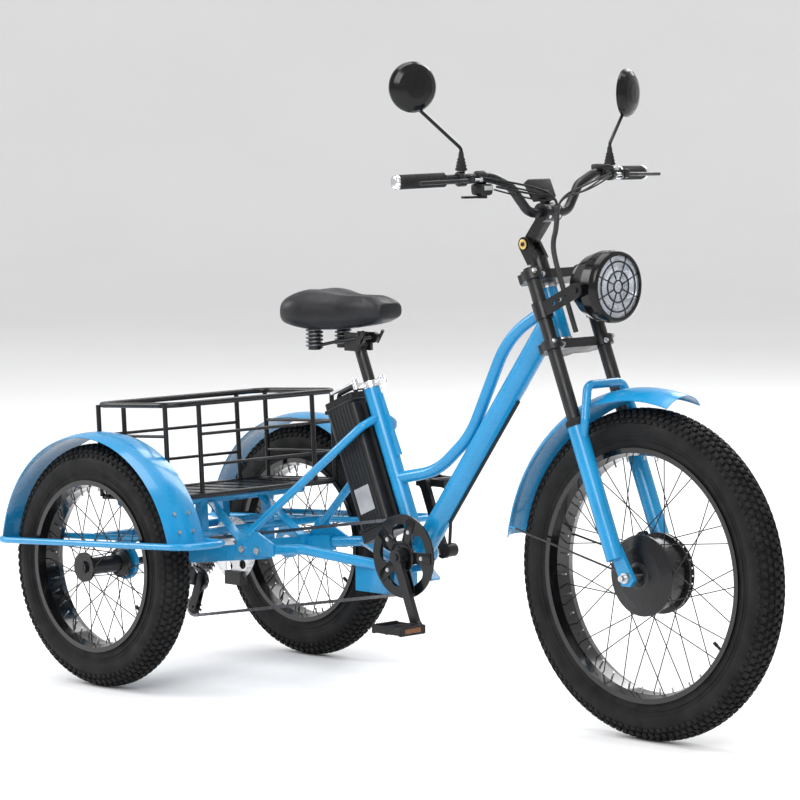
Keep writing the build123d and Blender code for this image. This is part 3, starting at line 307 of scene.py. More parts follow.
def make_finishes(paint):
    """All the finishes, by name."""
    blue = tuple(paint.blue)
    return {
        "enamel": enamel("sky_enamel", blue, 0.26, 0.35, 0.4),
        "fender_enamel": black_inside(enamel("fender_enamel", blue, 0.26, 0.35, 0.4),
                                      FRONT_AXLE, FENDER_INSIDE),
        "black_enamel": enamel("black_enamel", tuple(paint.black), 0.28, 0.12, 0.3),
        "anodised": enamel("black_anodised", (0.007, 0.007, 0.008), 0.36, 0.0, 0.42),
        "rim_black": enamel("rim_lacquer", (0.003, 0.003, 0.0035), 0.14, 0.25, 0.4),
        "steel": metal("turned_steel", (0.56, 0.57, 0.58), 0.24, 0.4, (1, 8, 1), 0.4),
        "dark_steel": metal("dark_steel", (0.16, 0.16, 0.17), 0.3, 0.45),
        "polished": metal("polished_alloy", (0.8, 0.8, 0.82), 0.1, 0.2, (1, 3, 1), 0.15),
        "brass": metal("brass_washer", (0.62, 0.42, 0.14), 0.25, 0.4),
        "tyre": tyre_rubber("tyre_rubber"),
        "rubber": moulded("soft_rubber", (0.007, 0.007, 0.0075), 0.55, 0.75, 600, 0.0002),
        "plastic": moulded("black_nylon", (0.007, 0.007, 0.0075)),
        "shiny_plastic": moulded("gloss_moulding", (0.003, 0.003, 0.0035), 0.12, 0.22, 300,
                                 0.00004),
        "label": moulded("grey_label", (0.30, 0.31, 0.33), 0.35, 0.5),
        "screen": moulded("screen_glass", (0.01, 0.012, 0.016), 0.05, 0.1, 200, 0.00002),
        "leather": hide("saddle_leather", tuple(paint.leather)),
        "braid": braid("cable_braid"),
        "lens": clear("lamp_lens", (0.92, 0.95, 1.0), 0.04),
        "amber": clear("amber_reflector", tuple(paint.amber), 0.1),
        "mirror": metal("mirror_silver", (0.9, 0.91, 0.92), 0.02, 0.05, (1, 1, 1), 0.02),
        "led": moulded("lamp_emitter", (0.85, 0.85, 0.8), 0.2, 0.3),
    }


FINISHES = {}
NODE_FINISH = {
    "enamel": ["main_frame", "rear_subframe", "rear_right_fender", "rear_left_fender",
               "fork_lowers"],
    "fender_enamel": ["front_fender"],
    "black_enamel": ["cargo_basket", "handlebar", "stem_arm", "stem_base", "lamp_brackets",
                     "hub_motor", "rear_right_hub", "rear_left_hub", "rear_axle"],
    "rim_black": ["front_rim", "rear_right_rim", "rear_left_rim"],
    "anodised": ["fork_crowns", "fork_stanchions", "crank_arms", "chainring", "seatpost",
                 "saddle_clamp", "saddle_frame", "derailleur", "battery_mount", "brake_lever_right",
                 "brake_lever_left", "rear_brake_caliper", "front_brake_caliper"],
    "steel": ["rear_brake_disc", "front_brake_disc", "front_axle", "cassette", "bearings",
              "frame_bolts"],
    "polished": ["seat_clamp", "seat_qr_lever"],
    "plastic": ["frame_electrics", "shift_lever", "guide_pulley", "tension_pulley",
                "battery_handle"],
    "shiny_plastic": ["chain_guard", "headlight_housing", "mirror_right", "mirror_left"],
    "lens": ["headlight_lens"],
}


def wear(piece, finish):
    """Gives a piece one finish."""
    piece.data.materials.clear()
    piece.data.materials.append(FINISHES[finish].material)


# Shapes

def piece_from(shape, name, body, finish, smooth=True):
    """Object from a bmesh, in its place, riding on a body where one is named."""
    mesh = bpy.data.meshes.new(name)
    bmesh.ops.recalc_face_normals(shape, faces=shape.faces)
    shape.to_mesh(mesh)
    shape.free()
    for face in mesh.polygons:
        face.use_smooth = smooth
    piece = bpy.data.objects.new(name, mesh)
    bpy.context.scene.collection.objects.link(piece)
    wear(piece, finish)
    if body:
        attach(piece, body)
    return piece


def soften(piece, width=0.0008, segments=2):
    """Rounds a piece's sharp edges."""
    rounding = piece.modifiers.new("rounding", "BEVEL")
    rounding.width = width
    rounding.segments = segments
    rounding.limit_method = "ANGLE"
    rounding.harden_normals = False
    return piece


def facing(direction, origin=(0, 0, 0)):
    """Matrix that turns +Z to a direction and moves to a point."""
    turn = Vector(direction).to_track_quat("Z", "Y").to_matrix().to_4x4()
    return Matrix.Translation(origin) @ turn


def add_turned(shape, profile, place, steps=32):
    """Adds a body of revolution from (height, radius) points, round the place's own Z."""
    older = set(shape.verts)
    first = [shape.verts.new((radius, 0, height)) for height, radius in profile]
    edges = [shape.edges.new(pair) for pair in zip(first, first[1:])]
    bmesh.ops.spin(shape, geom=first + edges, cent=(0, 0, 0), axis=(0, 0, 1), angle=2 * pi,
                   steps=steps, use_merge=True)
    bmesh.ops.remove_doubles(shape, verts=[v for v in shape.verts if v not in older],
                             dist=0.00001)
    bmesh.ops.transform(shape, matrix=place, verts=[v for v in shape.verts if v not in older])


def add_bmesh(shape, spare):
    """Moves a spare bmesh's shape into another."""
    mesh = bpy.data.meshes.new("spare")
    spare.to_mesh(mesh)
    spare.free()
    shape.from_mesh(mesh)
    bpy.data.meshes.remove(mesh)


def round_edges(shape, width, segments):
    """Bevels every edge of a shape."""
    bmesh.ops.bevel(shape, geom=shape.edges, affect="EDGES", offset=width, segments=segments,
                    profile=0.5, material=-1)


def add_tube(shape, route, radius, resolution=12, caps=False):
    """Adds a round tube that bends smoothly along a route."""
    curve = bpy.data.curves.new("tube", "CURVE")
    curve.dimensions = "3D"
    curve.bevel_depth = radius
    curve.bevel_resolution = 3
    curve.resolution_u = resolution
    curve.use_fill_caps = caps
    spline = curve.splines.new("NURBS")
    spline.points.add(len(route) - 1)
    for knot, point in zip(spline.points, route):
        knot.co = (*point, 1)
    spline.order_u = 3
    spline.use_endpoint_u = True
    holder = bpy.data.objects.new("tube", curve)
    bpy.context.scene.collection.objects.link(holder)
    bpy.context.view_layer.update()
    mesh = bpy.data.meshes.new_from_object(holder)
    shape.from_mesh(mesh)
    bpy.data.objects.remove(holder)
    bpy.data.curves.remove(curve)
    bpy.data.meshes.remove(mesh)


def turned_piece(name, profile, place, body, finish, steps=48):
    """Separate turned piece."""
    shape = bmesh.new()
    add_turned(shape, profile, place, steps)
    return piece_from(shape, name, body, finish)


def add_block(shape, place, extent):
    """Adds a box of an extent at a place."""
    bmesh.ops.create_cube(shape, size=1, matrix=place @ Matrix.Diagonal((*extent, 1)))


def add_pin(shape, start, end, radius, segments=12, tip=None):
    """Adds a round pin from one point to another."""
    start, end = Vector(start), Vector(end)
    run = end - start
    bmesh.ops.create_cone(shape, cap_ends=True, segments=segments, radius1=radius,
                          radius2=radius if tip is None else tip, depth=run.length,
                          matrix=facing(run, (start + end) / 2))


def raise_face(shape, face, lift):
    """Extrudes a face by a lift."""
    raised = bmesh.ops.extrude_face_region(shape, geom=[face])
    bmesh.ops.translate(shape, vec=lift, verts=[part for part in raised["geom"]
                                                if isinstance(part, bmesh.types.BMVert)])


def add_hex_bolt(shape, point, direction, across, height):
    """Adds a socket bolt head with a washer."""
    point, direction = Vector(point), Vector(direction).normalized()
    add_pin(shape, point, point + direction * height * 0.25, across * 0.72, 20)
    add_pin(shape, point + direction * height * 0.25, point + direction * height, across / 2, 6)


# Tyres

def tread(shape, hub, outer, width, settings):
    """Adds rows of blocks round a tyre."""
    rows = round(2 * pi * outer / settings.block_pitch)
    tall = settings.block_height
    casing = width * CASING_SHARE
    belly = outer - casing
    blocks = [(-64, 0.5, 0.60, 0.0085), (-45, 0.0, 0.66, 0.0115), (-27, 0.5, 0.58, 0.0105),
              (-9, 0.0, 0.66, 0.0115), (9, 0.5, 0.66, 0.0115), (27, 0.0, 0.58, 0.0105),
              (45, 0.5, 0.66, 0.0115), (64, 0.0, 0.60, 0.0085)]
    for row in range(rows):
        for lean, shift, fill, wide in blocks:
            long = fill * settings.block_pitch
            angle = 2 * pi * (row + shift) / rows
            radius = casing - tall * (0.62 if abs(lean) < 60 else 0.85)
            tilt = radians(lean)
            turn = Matrix.Rotation(angle, 4, "Y") @ Matrix.Translation((0, 0, belly))
            place = (Matrix.Translation(hub) @ turn @ Matrix.Rotation(-tilt, 4, "X")
                     @ Matrix.Translation((0, 0, radius)))
            add_block(shape, place, (long, wide, tall))


def tyre(name, node, rim, body, settings):
    """Tyre with a round casing, beads in the rim and a block tread."""
    hub = middle(node)
    outer = size(node).z / 2
    width = size(node).y
    seat = size(rim).z / 2 - RIM_LIP
    bead = size(rim).y / 2 - 0.005
    belly = outer - width * CASING_SHARE
    casing = width * CASING_SHARE - settings.block_height
    profile = [(-bead, seat + 0.002), (-bead, seat + 0.009)]
    for step in range(-13, 14):
        lean = radians(step * 8.2)
        across = casing * sin(lean) * (1.0 if abs(step) < 9 else 1.02)
        profile.append((across, belly + casing * cos(lean)))
    profile += [(bead, seat + 0.009), (bead, seat + 0.002)]
    profile = [point for point in profile if point[1] >= seat]
    shape = bmesh.new()
    around = facing(ACROSS, hub)
    add_turned(shape, profile, around, 120)
    for side in (-1, 1):
        for across, high in ((0.98, 0.20), (0.99, 0.30)):
            ring_radius = seat + (outer - seat) * high + 0.004
            lean_out = casing * across
            add_turned(shape, [(side * (lean_out - 0.003), ring_radius),
                               (side * (lean_out + 0.0002), ring_radius + 0.0012),
                               (side * (lean_out - 0.003), ring_radius + 0.0026)], around, 96)
    blocks = bmesh.new()
    tread(blocks, hub, outer, width, settings)
    round_edges(blocks, 0.0013, 1)
    add_bmesh(shape, blocks)
    piece = piece_from(shape, name, body, "tyre")
    for face in piece.data.polygons:
        face.use_smooth = len(face.vertices) == 4 and face.area > 0.00001
    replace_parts(piece, node)


class TRICYCLE_OT_finishes(bpy.types.Operator):
    """Make the materials and put them on the frame's own parts"""
    bl_idname = "tricycle.finishes"
    bl_label = "Finishes"

    def execute(self, context):
        FINISHES.update(make_finishes(context.scene.tricycle_paint))
        for finish, nodes in NODE_FINISH.items():
            for node in nodes:
                wear(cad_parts[node], finish)
        return {"FINISHED"}


class TRICYCLE_OT_tyres(bpy.types.Operator):
    """Add the three tyres with their tread"""
    bl_idname = "tricycle.tyres"
    bl_label = "Tyres"

    def execute(self, context):
        settings = context.scene.tricycle_tyres
        tyre("front_tyre_tread", "front_tyre", "front_rim", "front_wheel", settings)
        tyre("right_tyre_tread", "rear_right_tyre", "rear_right_rim", "right_wheel", settings)
        tyre("left_tyre_tread", "rear_left_tyre", "rear_left_rim", "left_wheel", settings)
        return {"FINISHED"}


# Saddle

def saddle_shape(low, high, dip, shrink):
    """Closed crowned pad, wide at the back and slim at the nose."""
    shape = bmesh.new()
    bmesh.ops.create_uvsphere(shape, u_segments=56, v_segments=40, radius=1,
                              matrix=Matrix.Rotation(pi / 2, 4, "Y"))
    long = high.x - low.x
    half = (high.y - low.y) / 2
    tall = high.z - low.z
    widths = [(0.0, 0.84), (0.10, 0.98), (0.22, 1.0), (0.36, 0.90), (0.48, 0.70), (0.60, 0.52),
              (0.74, 0.44), (1.0, 0.42)]
    tops = [(0.0, 0.88), (0.12, 0.98), (0.24, 1.0), (0.40, 0.90), (0.55, 0.85), (0.72, 0.88),
            (0.88, 0.90), (1.0, 0.84)]
    bases = [(0.0, 0.04), (0.10, 0.0), (0.45, 0.02), (0.70, 0.14), (1.0, 0.30)]

    def read(table, share):
        for (a, first), (b, second) in zip(table, table[1:]):
            if share <= b:
                return first + (second - first) * (share - a) / (b - a)
        return table[-1][1]

    for vert in shape.verts:
        share = (vert.co.x + 1) / 2
        away = max(hypot(vert.co.y, vert.co.z), 1e-6)
        across, up = vert.co.y / away, vert.co.z / away
        share = 0.5 - 0.5 * cos(pi * share) if 0 < share < 1 else share
        full = away ** 0.34
        wide = half * read(widths, share) * full
        top = tall * read(tops, share)
        base = tall * read(bases, share)
        belt = base + (top - base) * 0.40
        side = abs(across) ** 0.75 * (1 if across > 0 else -1)
        y = wide * side * (1.0 if up > 0 else 1.0 - 0.10 * abs(up))
        if up > 0:
            z = belt + (top - belt) * full * up ** 0.62
            hollow = dip * max(0, 1 - (y / 0.026) ** 2) * min(1, full * 1.2)
            z -= hollow * (1 if share < 0.85 else max(0, (1 - share) / 0.15))
        else:
            z = belt - (belt - base) * full * abs(up) ** 0.45
        vert.co = Vector((low.x + shrink + (long - 2 * shrink) * share, y * (1 - shrink / half),
                          low.z + z * (1 - shrink / tall) + shrink * 0.4))
    for _ in range(6):
        bmesh.ops.smooth_vert(shape, verts=shape.verts, factor=0.5, use_axis_x=False,
                              use_axis_y=True, use_axis_z=True)
    return shape


def fill_cover(piece, swell):
    """Blows a cover out with cloth pressure, each point by no more than swell."""
    remesh = piece.modifiers.new("remesh", "REMESH")
    remesh.mode = "VOXEL"
    remesh.voxel_size = 0.005
    bpy.context.view_layer.objects.active = piece
    bpy.ops.object.modifier_apply(modifier=remesh.name)
    before = [vert.co.copy() for vert in piece.data.vertices]
    cloth = piece.modifiers.new("filling", "CLOTH")
    cloth.settings.use_pressure = True
    cloth.settings.uniform_pressure_force = 4
    cloth.settings.effector_weights.gravity = 0
    for number in range(1, 21):
        bpy.context.scene.frame_set(number)
    bpy.ops.object.modifier_apply(modifier=cloth.name)
    bpy.context.scene.frame_set(1)
    for vert, old in zip(piece.data.vertices, before):
        moved = vert.co - old
        if moved.length > swell:
            vert.co = old + moved.normalized() * swell
    for face in piece.data.polygons:
        face.use_smooth = True


class TRICYCLE_OT_saddle(bpy.types.Operator):
    """Add the padded saddle and its springs"""
    bl_idname = "tricycle.saddle"
    bl_label = "Saddle"

    def execute(self, context):
        settings = context.scene.tricycle_saddle
        low, high = (Vector(corner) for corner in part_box("saddle"))
        shape = saddle_shape(low, high, settings.dip, 0.004)
        piece = piece_from(shape, "saddle_pad", "seat", "leather")
        fill_cover(piece, settings.swell)
        finer = piece.modifiers.new("finer", "SUBSURF")
        finer.levels = 1
        finer.render_levels = 1
        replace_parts(piece, "saddle")
        self.springs(low, settings)
        return {"FINISHED"}

    def springs(self, low, settings):
        """Coil springs under the back of the saddle."""
        steps, radius, rise = 10, 0.0195, 0.046
        count = settings.spring_turns * steps
        for side, label in SIDES:
            axis = Vector((low.x + 0.094, side * 0.048, low.z - rise))
            line = [axis + Vector((radius * cos(2 * pi * number / steps),
                                   radius * sin(2 * pi * number / steps), rise * number / count))
                    for number in range(count + 1)]
            coil = bmesh.new()
            add_tube(coil, line, 0.0026)
            piece_from(coil, "spring_" + label, "seat", "dark_steel")


# Handlebar

def along_bar(share, side):
    """Point on the bar's outer run, from its last bend at 0 to its end at 1."""
    inner = BAR_CLAMP + Vector((-0.014, side * 0.170, 0.084))
    outer = BAR_CLAMP + Vector((-0.080, side * 0.412, 0.078))
    return inner + (outer - inner) * share


def fork_at(ahead, across, up):
    """Point by the steering column, from the lower crown's middle."""
    return LOWER_CROWN + STEER_AHEAD * ahead + ACROSS * across + STEER_UP * up


def display_place():
    """Place of the display, tilted up towards the rider."""
    turn = Matrix.Rotation(DISPLAY_LEAN, 4, "Y")
    return Matrix.Translation(BAR_CLAMP + Vector((-0.022, 0, 0.050))) @ turn


def add_rounded_block(shape, place, extent, radius, taper=1.0):
    """Adds a box with rounded edges, whose lower end is narrowed to a share of its width."""
    spare = bmesh.new()
    bmesh.ops.create_cube(spare, size=1, matrix=Matrix.Diagonal((*extent, 1)))
    for vert in spare.verts:
        if vert.co.z < 0:
            vert.co.y *= taper
    round_edges(spare, radius, 3)
    bmesh.ops.transform(spare, matrix=place, verts=spare.verts)
    add_bmesh(shape, spare)


class TRICYCLE_OT_cockpit(bpy.types.Operator):
    """Add the controls, grips, mirror glass, display, stem bolts and steering cables"""
    bl_idname = "tricycle.cockpit"
    bl_label = "Cockpit"

    def execute(self, context):
        self.controls()
        self.grips()
        self.mirrors()
        self.screen()
        self.bolts()
        self.cables()
        return {"FINISHED"}

    def cables(self):
        """Thin control cables that gather into one braided sleeve in front of the stem."""
        top = BAR_CLAMP + Vector((0.046, -0.020, 0.010))
        sleeve = [top, BAR_CLAMP + Vector((0.048, -0.022, -0.030)), fork_at(0.072, -0.020, 0.230),
                  fork_at(0.066, -0.020, 0.178), fork_at(0.068, -0.022, 0.108),
                  fork_at(0.066, -0.020, 0.020)]
        braided = bmesh.new()
        add_tube(braided, sleeve, 0.006, 10, True)
        add_turned(braided, [(0, 0), (0, 0.0066), (0.014, 0.0070), (0.016, 0.0050), (0.016, 0)],
                   facing((0.02, 0, 1), top - Vector((0, 0, 0.006))), 24)
        thin = bmesh.new()
        for start, lift, over, radius in (
                (along_bar(0.24, -1), (0.026, 0.012, 0.002), (0.034, -0.096, 0.066), 0.0025),
                (along_bar(0.24, -1), (0.027, 0.010, -0.004), (0.040, -0.102, 0.052), 0.0022),
                (along_bar(0.10, -1), (0.030, 0.014, -0.020), (0.042, -0.072, 0.040), 0.0025),
                (along_bar(0.10, -1), (0.030, 0.006, -0.026), (0.050, -0.080, 0.026), 0.0020),
                (along_bar(0.24, 1), (0.026, -0.012, 0.002), (0.038, 0.092, 0.062), 0.0025),
                (along_bar(0.24, 1), (0.027, -0.010, -0.004), (0.044, 0.098, 0.048), 0.0020),
                (along_bar(0.10, 1), (0.028, -0.010, -0.006), (0.052, 0.066, 0.044), 0.0020)):
            add_tube(thin, [start + Vector(lift), BAR_CLAMP + Vector(over),
                            top + Vector((0.006, 0, 0.026)), top - Vector((0, 0, 0.008))],
                     radius, 10, True)
        for shape, name, finish in ((braided, "braided_sleeve", "braid"),
                                    (thin, "control_cables", "plastic")):
            piece = piece_from(shape, name, None, finish)
            if name == "braided_sleeve":
                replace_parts(piece, "steering_cables")
            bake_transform(piece)

    def controls(self):
        """Lever perches, shifter pod, switch and display, all with rounded edges."""
        shape = bmesh.new()
        silver = bmesh.new()
        for side in (-1, 1):
            for first, last, radius in ((0.28, 0.36, 0.0172), (0.08, 0.17, 0.0162)):
                run = along_bar(last, side) - along_bar(first, side)
                long, worn = run.length, radius - 0.0012
                add_turned(shape, [(0, BAR_RADIUS), (0, worn), (0.002, radius),
                                   (long - 0.002, radius), (long, worn), (long, BAR_RADIUS)],
                           facing(run, along_bar(first, side)), 32)
            hinge = along_bar(LEVER_SHARE, side) + Vector((0.044, side * 0.010, -0.002))
            start = along_bar(LEVER_SHARE, side) + Vector((0.011, 0, 0))
            end = hinge + Vector((-0.011, 0, 0))
            neck = facing(end - start, (start + end) / 2)
            add_rounded_block(shape, neck, (0.015, 0.017, (end - start).length), 0.003)
            add_rounded_block(shape, Matrix.Translation(hinge + Vector((-0.0065, 0, 0.0095))),
                              (0.027, 0.014, 0.004), 0.0015)
            add_pin(silver, hinge - Vector((0, 0, 0.009)), hinge + Vector((0, 0, 0.0125)),
                    0.0026, 16)
            inward = hinge + Vector((-0.006, -side * 0.012, 0))
            add_pin(silver, inward, inward + Vector((0.002, -side * 0.016, 0)), 0.0042, 14, 0.0036)
            add_pin(silver, inward + Vector((0.002, -side * 0.016, 0)),
                    inward + Vector((0.003, -side * 0.022, 0)), 0.0052, 14)
        pod = along_bar(0.125, -1) + Vector((0.008, -0.002, -0.026))
        add_rounded_block(shape, Matrix.Translation(pod), (0.042, 0.038, 0.026), 0.007, 0.86)
        add_rounded_block(silver, Matrix.Translation(pod + Vector((0.0205, 0, 0.004))),
                          (0.002, 0.026, 0.010), 0.0008)
        switch = along_bar(0.12, 1) + Vector((0.004, 0, 0.014))
        add_rounded_block(shape, Matrix.Translation(switch), (0.040, 0.030, 0.014), 0.004)
        for number in range(3):
            key = switch + Vector((-0.010, (number - 1) * 0.008, 0.0072))
            add_pin(silver, key - Vector((0, 0, 0.001)), key + Vector((0, 0, 0.0008)), 0.0030, 16)
        add_rounded_block(shape, display_place(), (0.022, 0.078, 0.052), 0.005, 0.72)
        start, end = BAR_CLAMP + Vector((-0.002, 0, 0.021)), BAR_CLAMP + Vector((-0.018, 0, 0.044))
        add_rounded_block(shape, facing(end - start, (start + end) / 2),
                          (0.014, 0.030, (end - start).length), 0.003)
        piece = piece_from(shape, "lever_perches", "cockpit", "plastic")
        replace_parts(piece, "bar_controls")
        piece_from(silver, "control_pins", "cockpit", "steel", False)

    def grips(self):
        """Ribbed rubber grips with alloy end rings."""
        shape = bmesh.new()
        rings = bmesh.new()
        for side in (-1, 1):
            inner, outer = along_bar(0.5, side), along_bar(1, side)
            run = outer - inner
            long = run.length
            profile = [(0, GRIP_BORE), (0, 0.0165), (0.004, 0.0165)]
            ribs = 17
            step = (long - 0.016) / ribs
            for number in range(ribs):
                start = 0.006 + step * number
                profile += [(start, 0.0152), (start + step * 0.22, 0.0164),
                            (start + step * 0.72, 0.0164), (start + step * 0.94, 0.0152)]
            profile += [(long - 0.007, 0.0150), (long - 0.007, GRIP_BORE)]
            add_turned(shape, profile, facing(run, inner), 32)
            for ring in ([(long - 0.007, GRIP_BORE), (long - 0.007, 0.0163),
                          (long - 0.001, 0.0165), (long + 0.002, 0.0150), (long + 0.003, 0.008),
                          (long + 0.0028, 0)],
                         [(-0.001, GRIP_BORE), (-0.001, 0.0162), (0.003, 0.0164),
                          (0.003, GRIP_BORE)]):
                add_turned(rings, ring, facing(run, inner), 32)
        piece = piece_from(shape, "ribbed_grips", "cockpit", "rubber")
        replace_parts(piece, "grips")
        piece_from(rings, "grip_rings", "cockpit", "polished")

    def mirrors(self):
        """Silvered glass on the rear of each head and a rubber boot on each stalk."""
        for side, label in SIDES:
            body = label + "_mirror"
            back = -Vector((cos(MIRROR_TURN), side * sin(MIRROR_TURN), 0))
            turned_piece("glass_mirror_" + label,
                         [(0.0004, 0), (0.0004, MIRROR_RADIUS - 0.006), (0, MIRROR_RADIUS - 0.005)],
                         facing(back, MIRROR_HEADS[label] + back * 0.012), body, "mirror")
            foot = along_bar(LEVER_SHARE, side) + Vector((0, 0, 0.018))
            turned_piece("boot_mirror_" + label,
                         [(0, 0), (0.001, 0.0135), (0.005, 0.0135), (0.008, 0.0112),
                          (0.012, 0.0122), (0.015, 0.0098), (0.019, 0.0108), (0.022, 0.0084),
                          (0.026, 0.0092), (0.030, 0.0066), (0.040, 0.0056), (0.044, 0.0042)],
                         facing((0, 0, 1), foot), body, "rubber", 32)

    def screen(self):
        """Dark glass and three keys on the display."""
        place = display_place()
        shape = bmesh.new()
        add_block(shape, place @ Matrix.Translation((-0.0112, 0, 0.004)), (0.0012, 0.066, 0.036))
        soften(piece_from(shape, "display_glass", "cockpit", "screen", False),
               0.0006)
        keys = bmesh.new()
        for y in (-0.022, 0, 0.022):
            add_block(keys, place @ Matrix.Translation((-0.0115, y, -0.020)), (0.002, 0.016, 0.007))
        soften(piece_from(keys, "display_keys", "cockpit", "rubber", False), 0.0008)

    def bolts(self):
        """Face-plate bolts of the stem and the screws of the lever clamps."""
        shape = bmesh.new()
        for y in (-0.016, 0.016):
            for turn in (-24, 30):
                out = Vector((cos(radians(turn)), 0, sin(radians(turn))))
                add_hex_bolt(shape, BAR_CLAMP + out * 0.019 + ACROSS * y, out, 0.009, 0.005)
        for side in (-1, 1):
            point = along_bar(LEVER_SHARE, side) + Vector((0.012, 0, 0.010))
            add_hex_bolt(shape, point, (0.7, 0, 0.7), 0.006, 0.005)
        piece_from(shape, "stem_bolts", "cockpit", "steel", False)


# Wheels and drive

def ring_of_bolts(shape, centre, direction, circle, count, across, height):
    """Adds a circle of bolt heads that face along a direction."""
    spoke = facing(direction, centre)
    for number in range(count):
        angle = 2 * pi * number / count
        point = spoke @ Vector((circle * cos(angle), circle * sin(angle), 0))
        add_hex_bolt(shape, point, direction, across, height)


class TRICYCLE_OT_wheels(bpy.types.Operator):
    """Add the motor's cover screws, the spoke nipples, the valves and the disc bolts"""
    bl_idname = "tricycle.wheels"
    bl_label = "Wheel fittings"

    def execute(self, context):
        hub = middle("front_rim")
        screws = bmesh.new()
        for side in (-1, 1):
            face = hub + ACROSS * side * 0.0325
            ring_of_bolts(screws, face, ACROSS * side, 0.068, 9, 0.0065, 0.0026)
        piece_from(screws, "motor_screws", "front_wheel", "steel", False)
        for side, label in SIDES:
            turned_piece("motor_cap_" + label,
                         [(0.0, 0.060), (0.002, 0.059), (0.0035, 0.054), (0.0035, 0.046),
                          (0.0055, 0.044), (0.006, 0.036), (0.012, 0.030), (0.013, 0.020)],
                         facing(ACROSS * side, hub + ACROSS * side * 0.032), "front_wheel",
                         "anodised", 72)
        self.nipples("front_rim", "front_wheel")
        self.nipples("rear_right_rim", "right_wheel")
        self.nipples("rear_left_rim", "left_wheel")
        discs = bmesh.new()
        ring_of_bolts(discs, middle("front_brake_disc") + ACROSS * 0.001, ACROSS, 0.022, 6, 0.006,
                      0.002)
        piece_from(discs, "disc_screws", "front_wheel", "dark_steel", False)
        return {"FINISHED"}

    def nipples(self, node, body):
        """Spoke nipples on the inside of a rim, and its valve."""
        hub = middle(node)
        seat = size(node).z / 2 - RIM_LIP
        shape = bmesh.new()
        for number in range(SPOKES):
            angle = 2 * pi * (number + 0.5) / SPOKES
            out = Vector((sin(angle), 0, cos(angle)))
            point = hub + out * (seat - 0.011) + ACROSS * (0.004 if number % 2 else -0.004)
            add_pin(shape, point - out * 0.012, point, 0.0022, 8)
        piece_from(shape, node + "_nipples", body, "steel", False)
        out = Vector((sin(VALVE_ANGLE), 0, cos(VALVE_ANGLE)))
        stem = bmesh.new()
        foot = hub + out * (seat - 0.010)
        add_pin(stem, foot, foot - out * 0.030, 0.0035, 12)
        add_pin(stem, foot - out * 0.030, foot - out * 0.040, 0.0045, 12, 0.0040)
        piece_from(stem, node + "_valve", body, "rubber", False)


def sprockets():
    """Centres and signed radii that the chain goes round, negative where it bends the other way."""
    rear = REAR_AXLE_X
    ring, cog, pulley = (CHAIN_PITCH / (2 * sin(pi / teeth)) for teeth in (44, 16, 11))
    return [(rear + 0.750, 0.358, ring), (rear, 0.299, cog), (rear + 0.025, 0.235, -pulley),
            (rear, 0.165, pulley)]


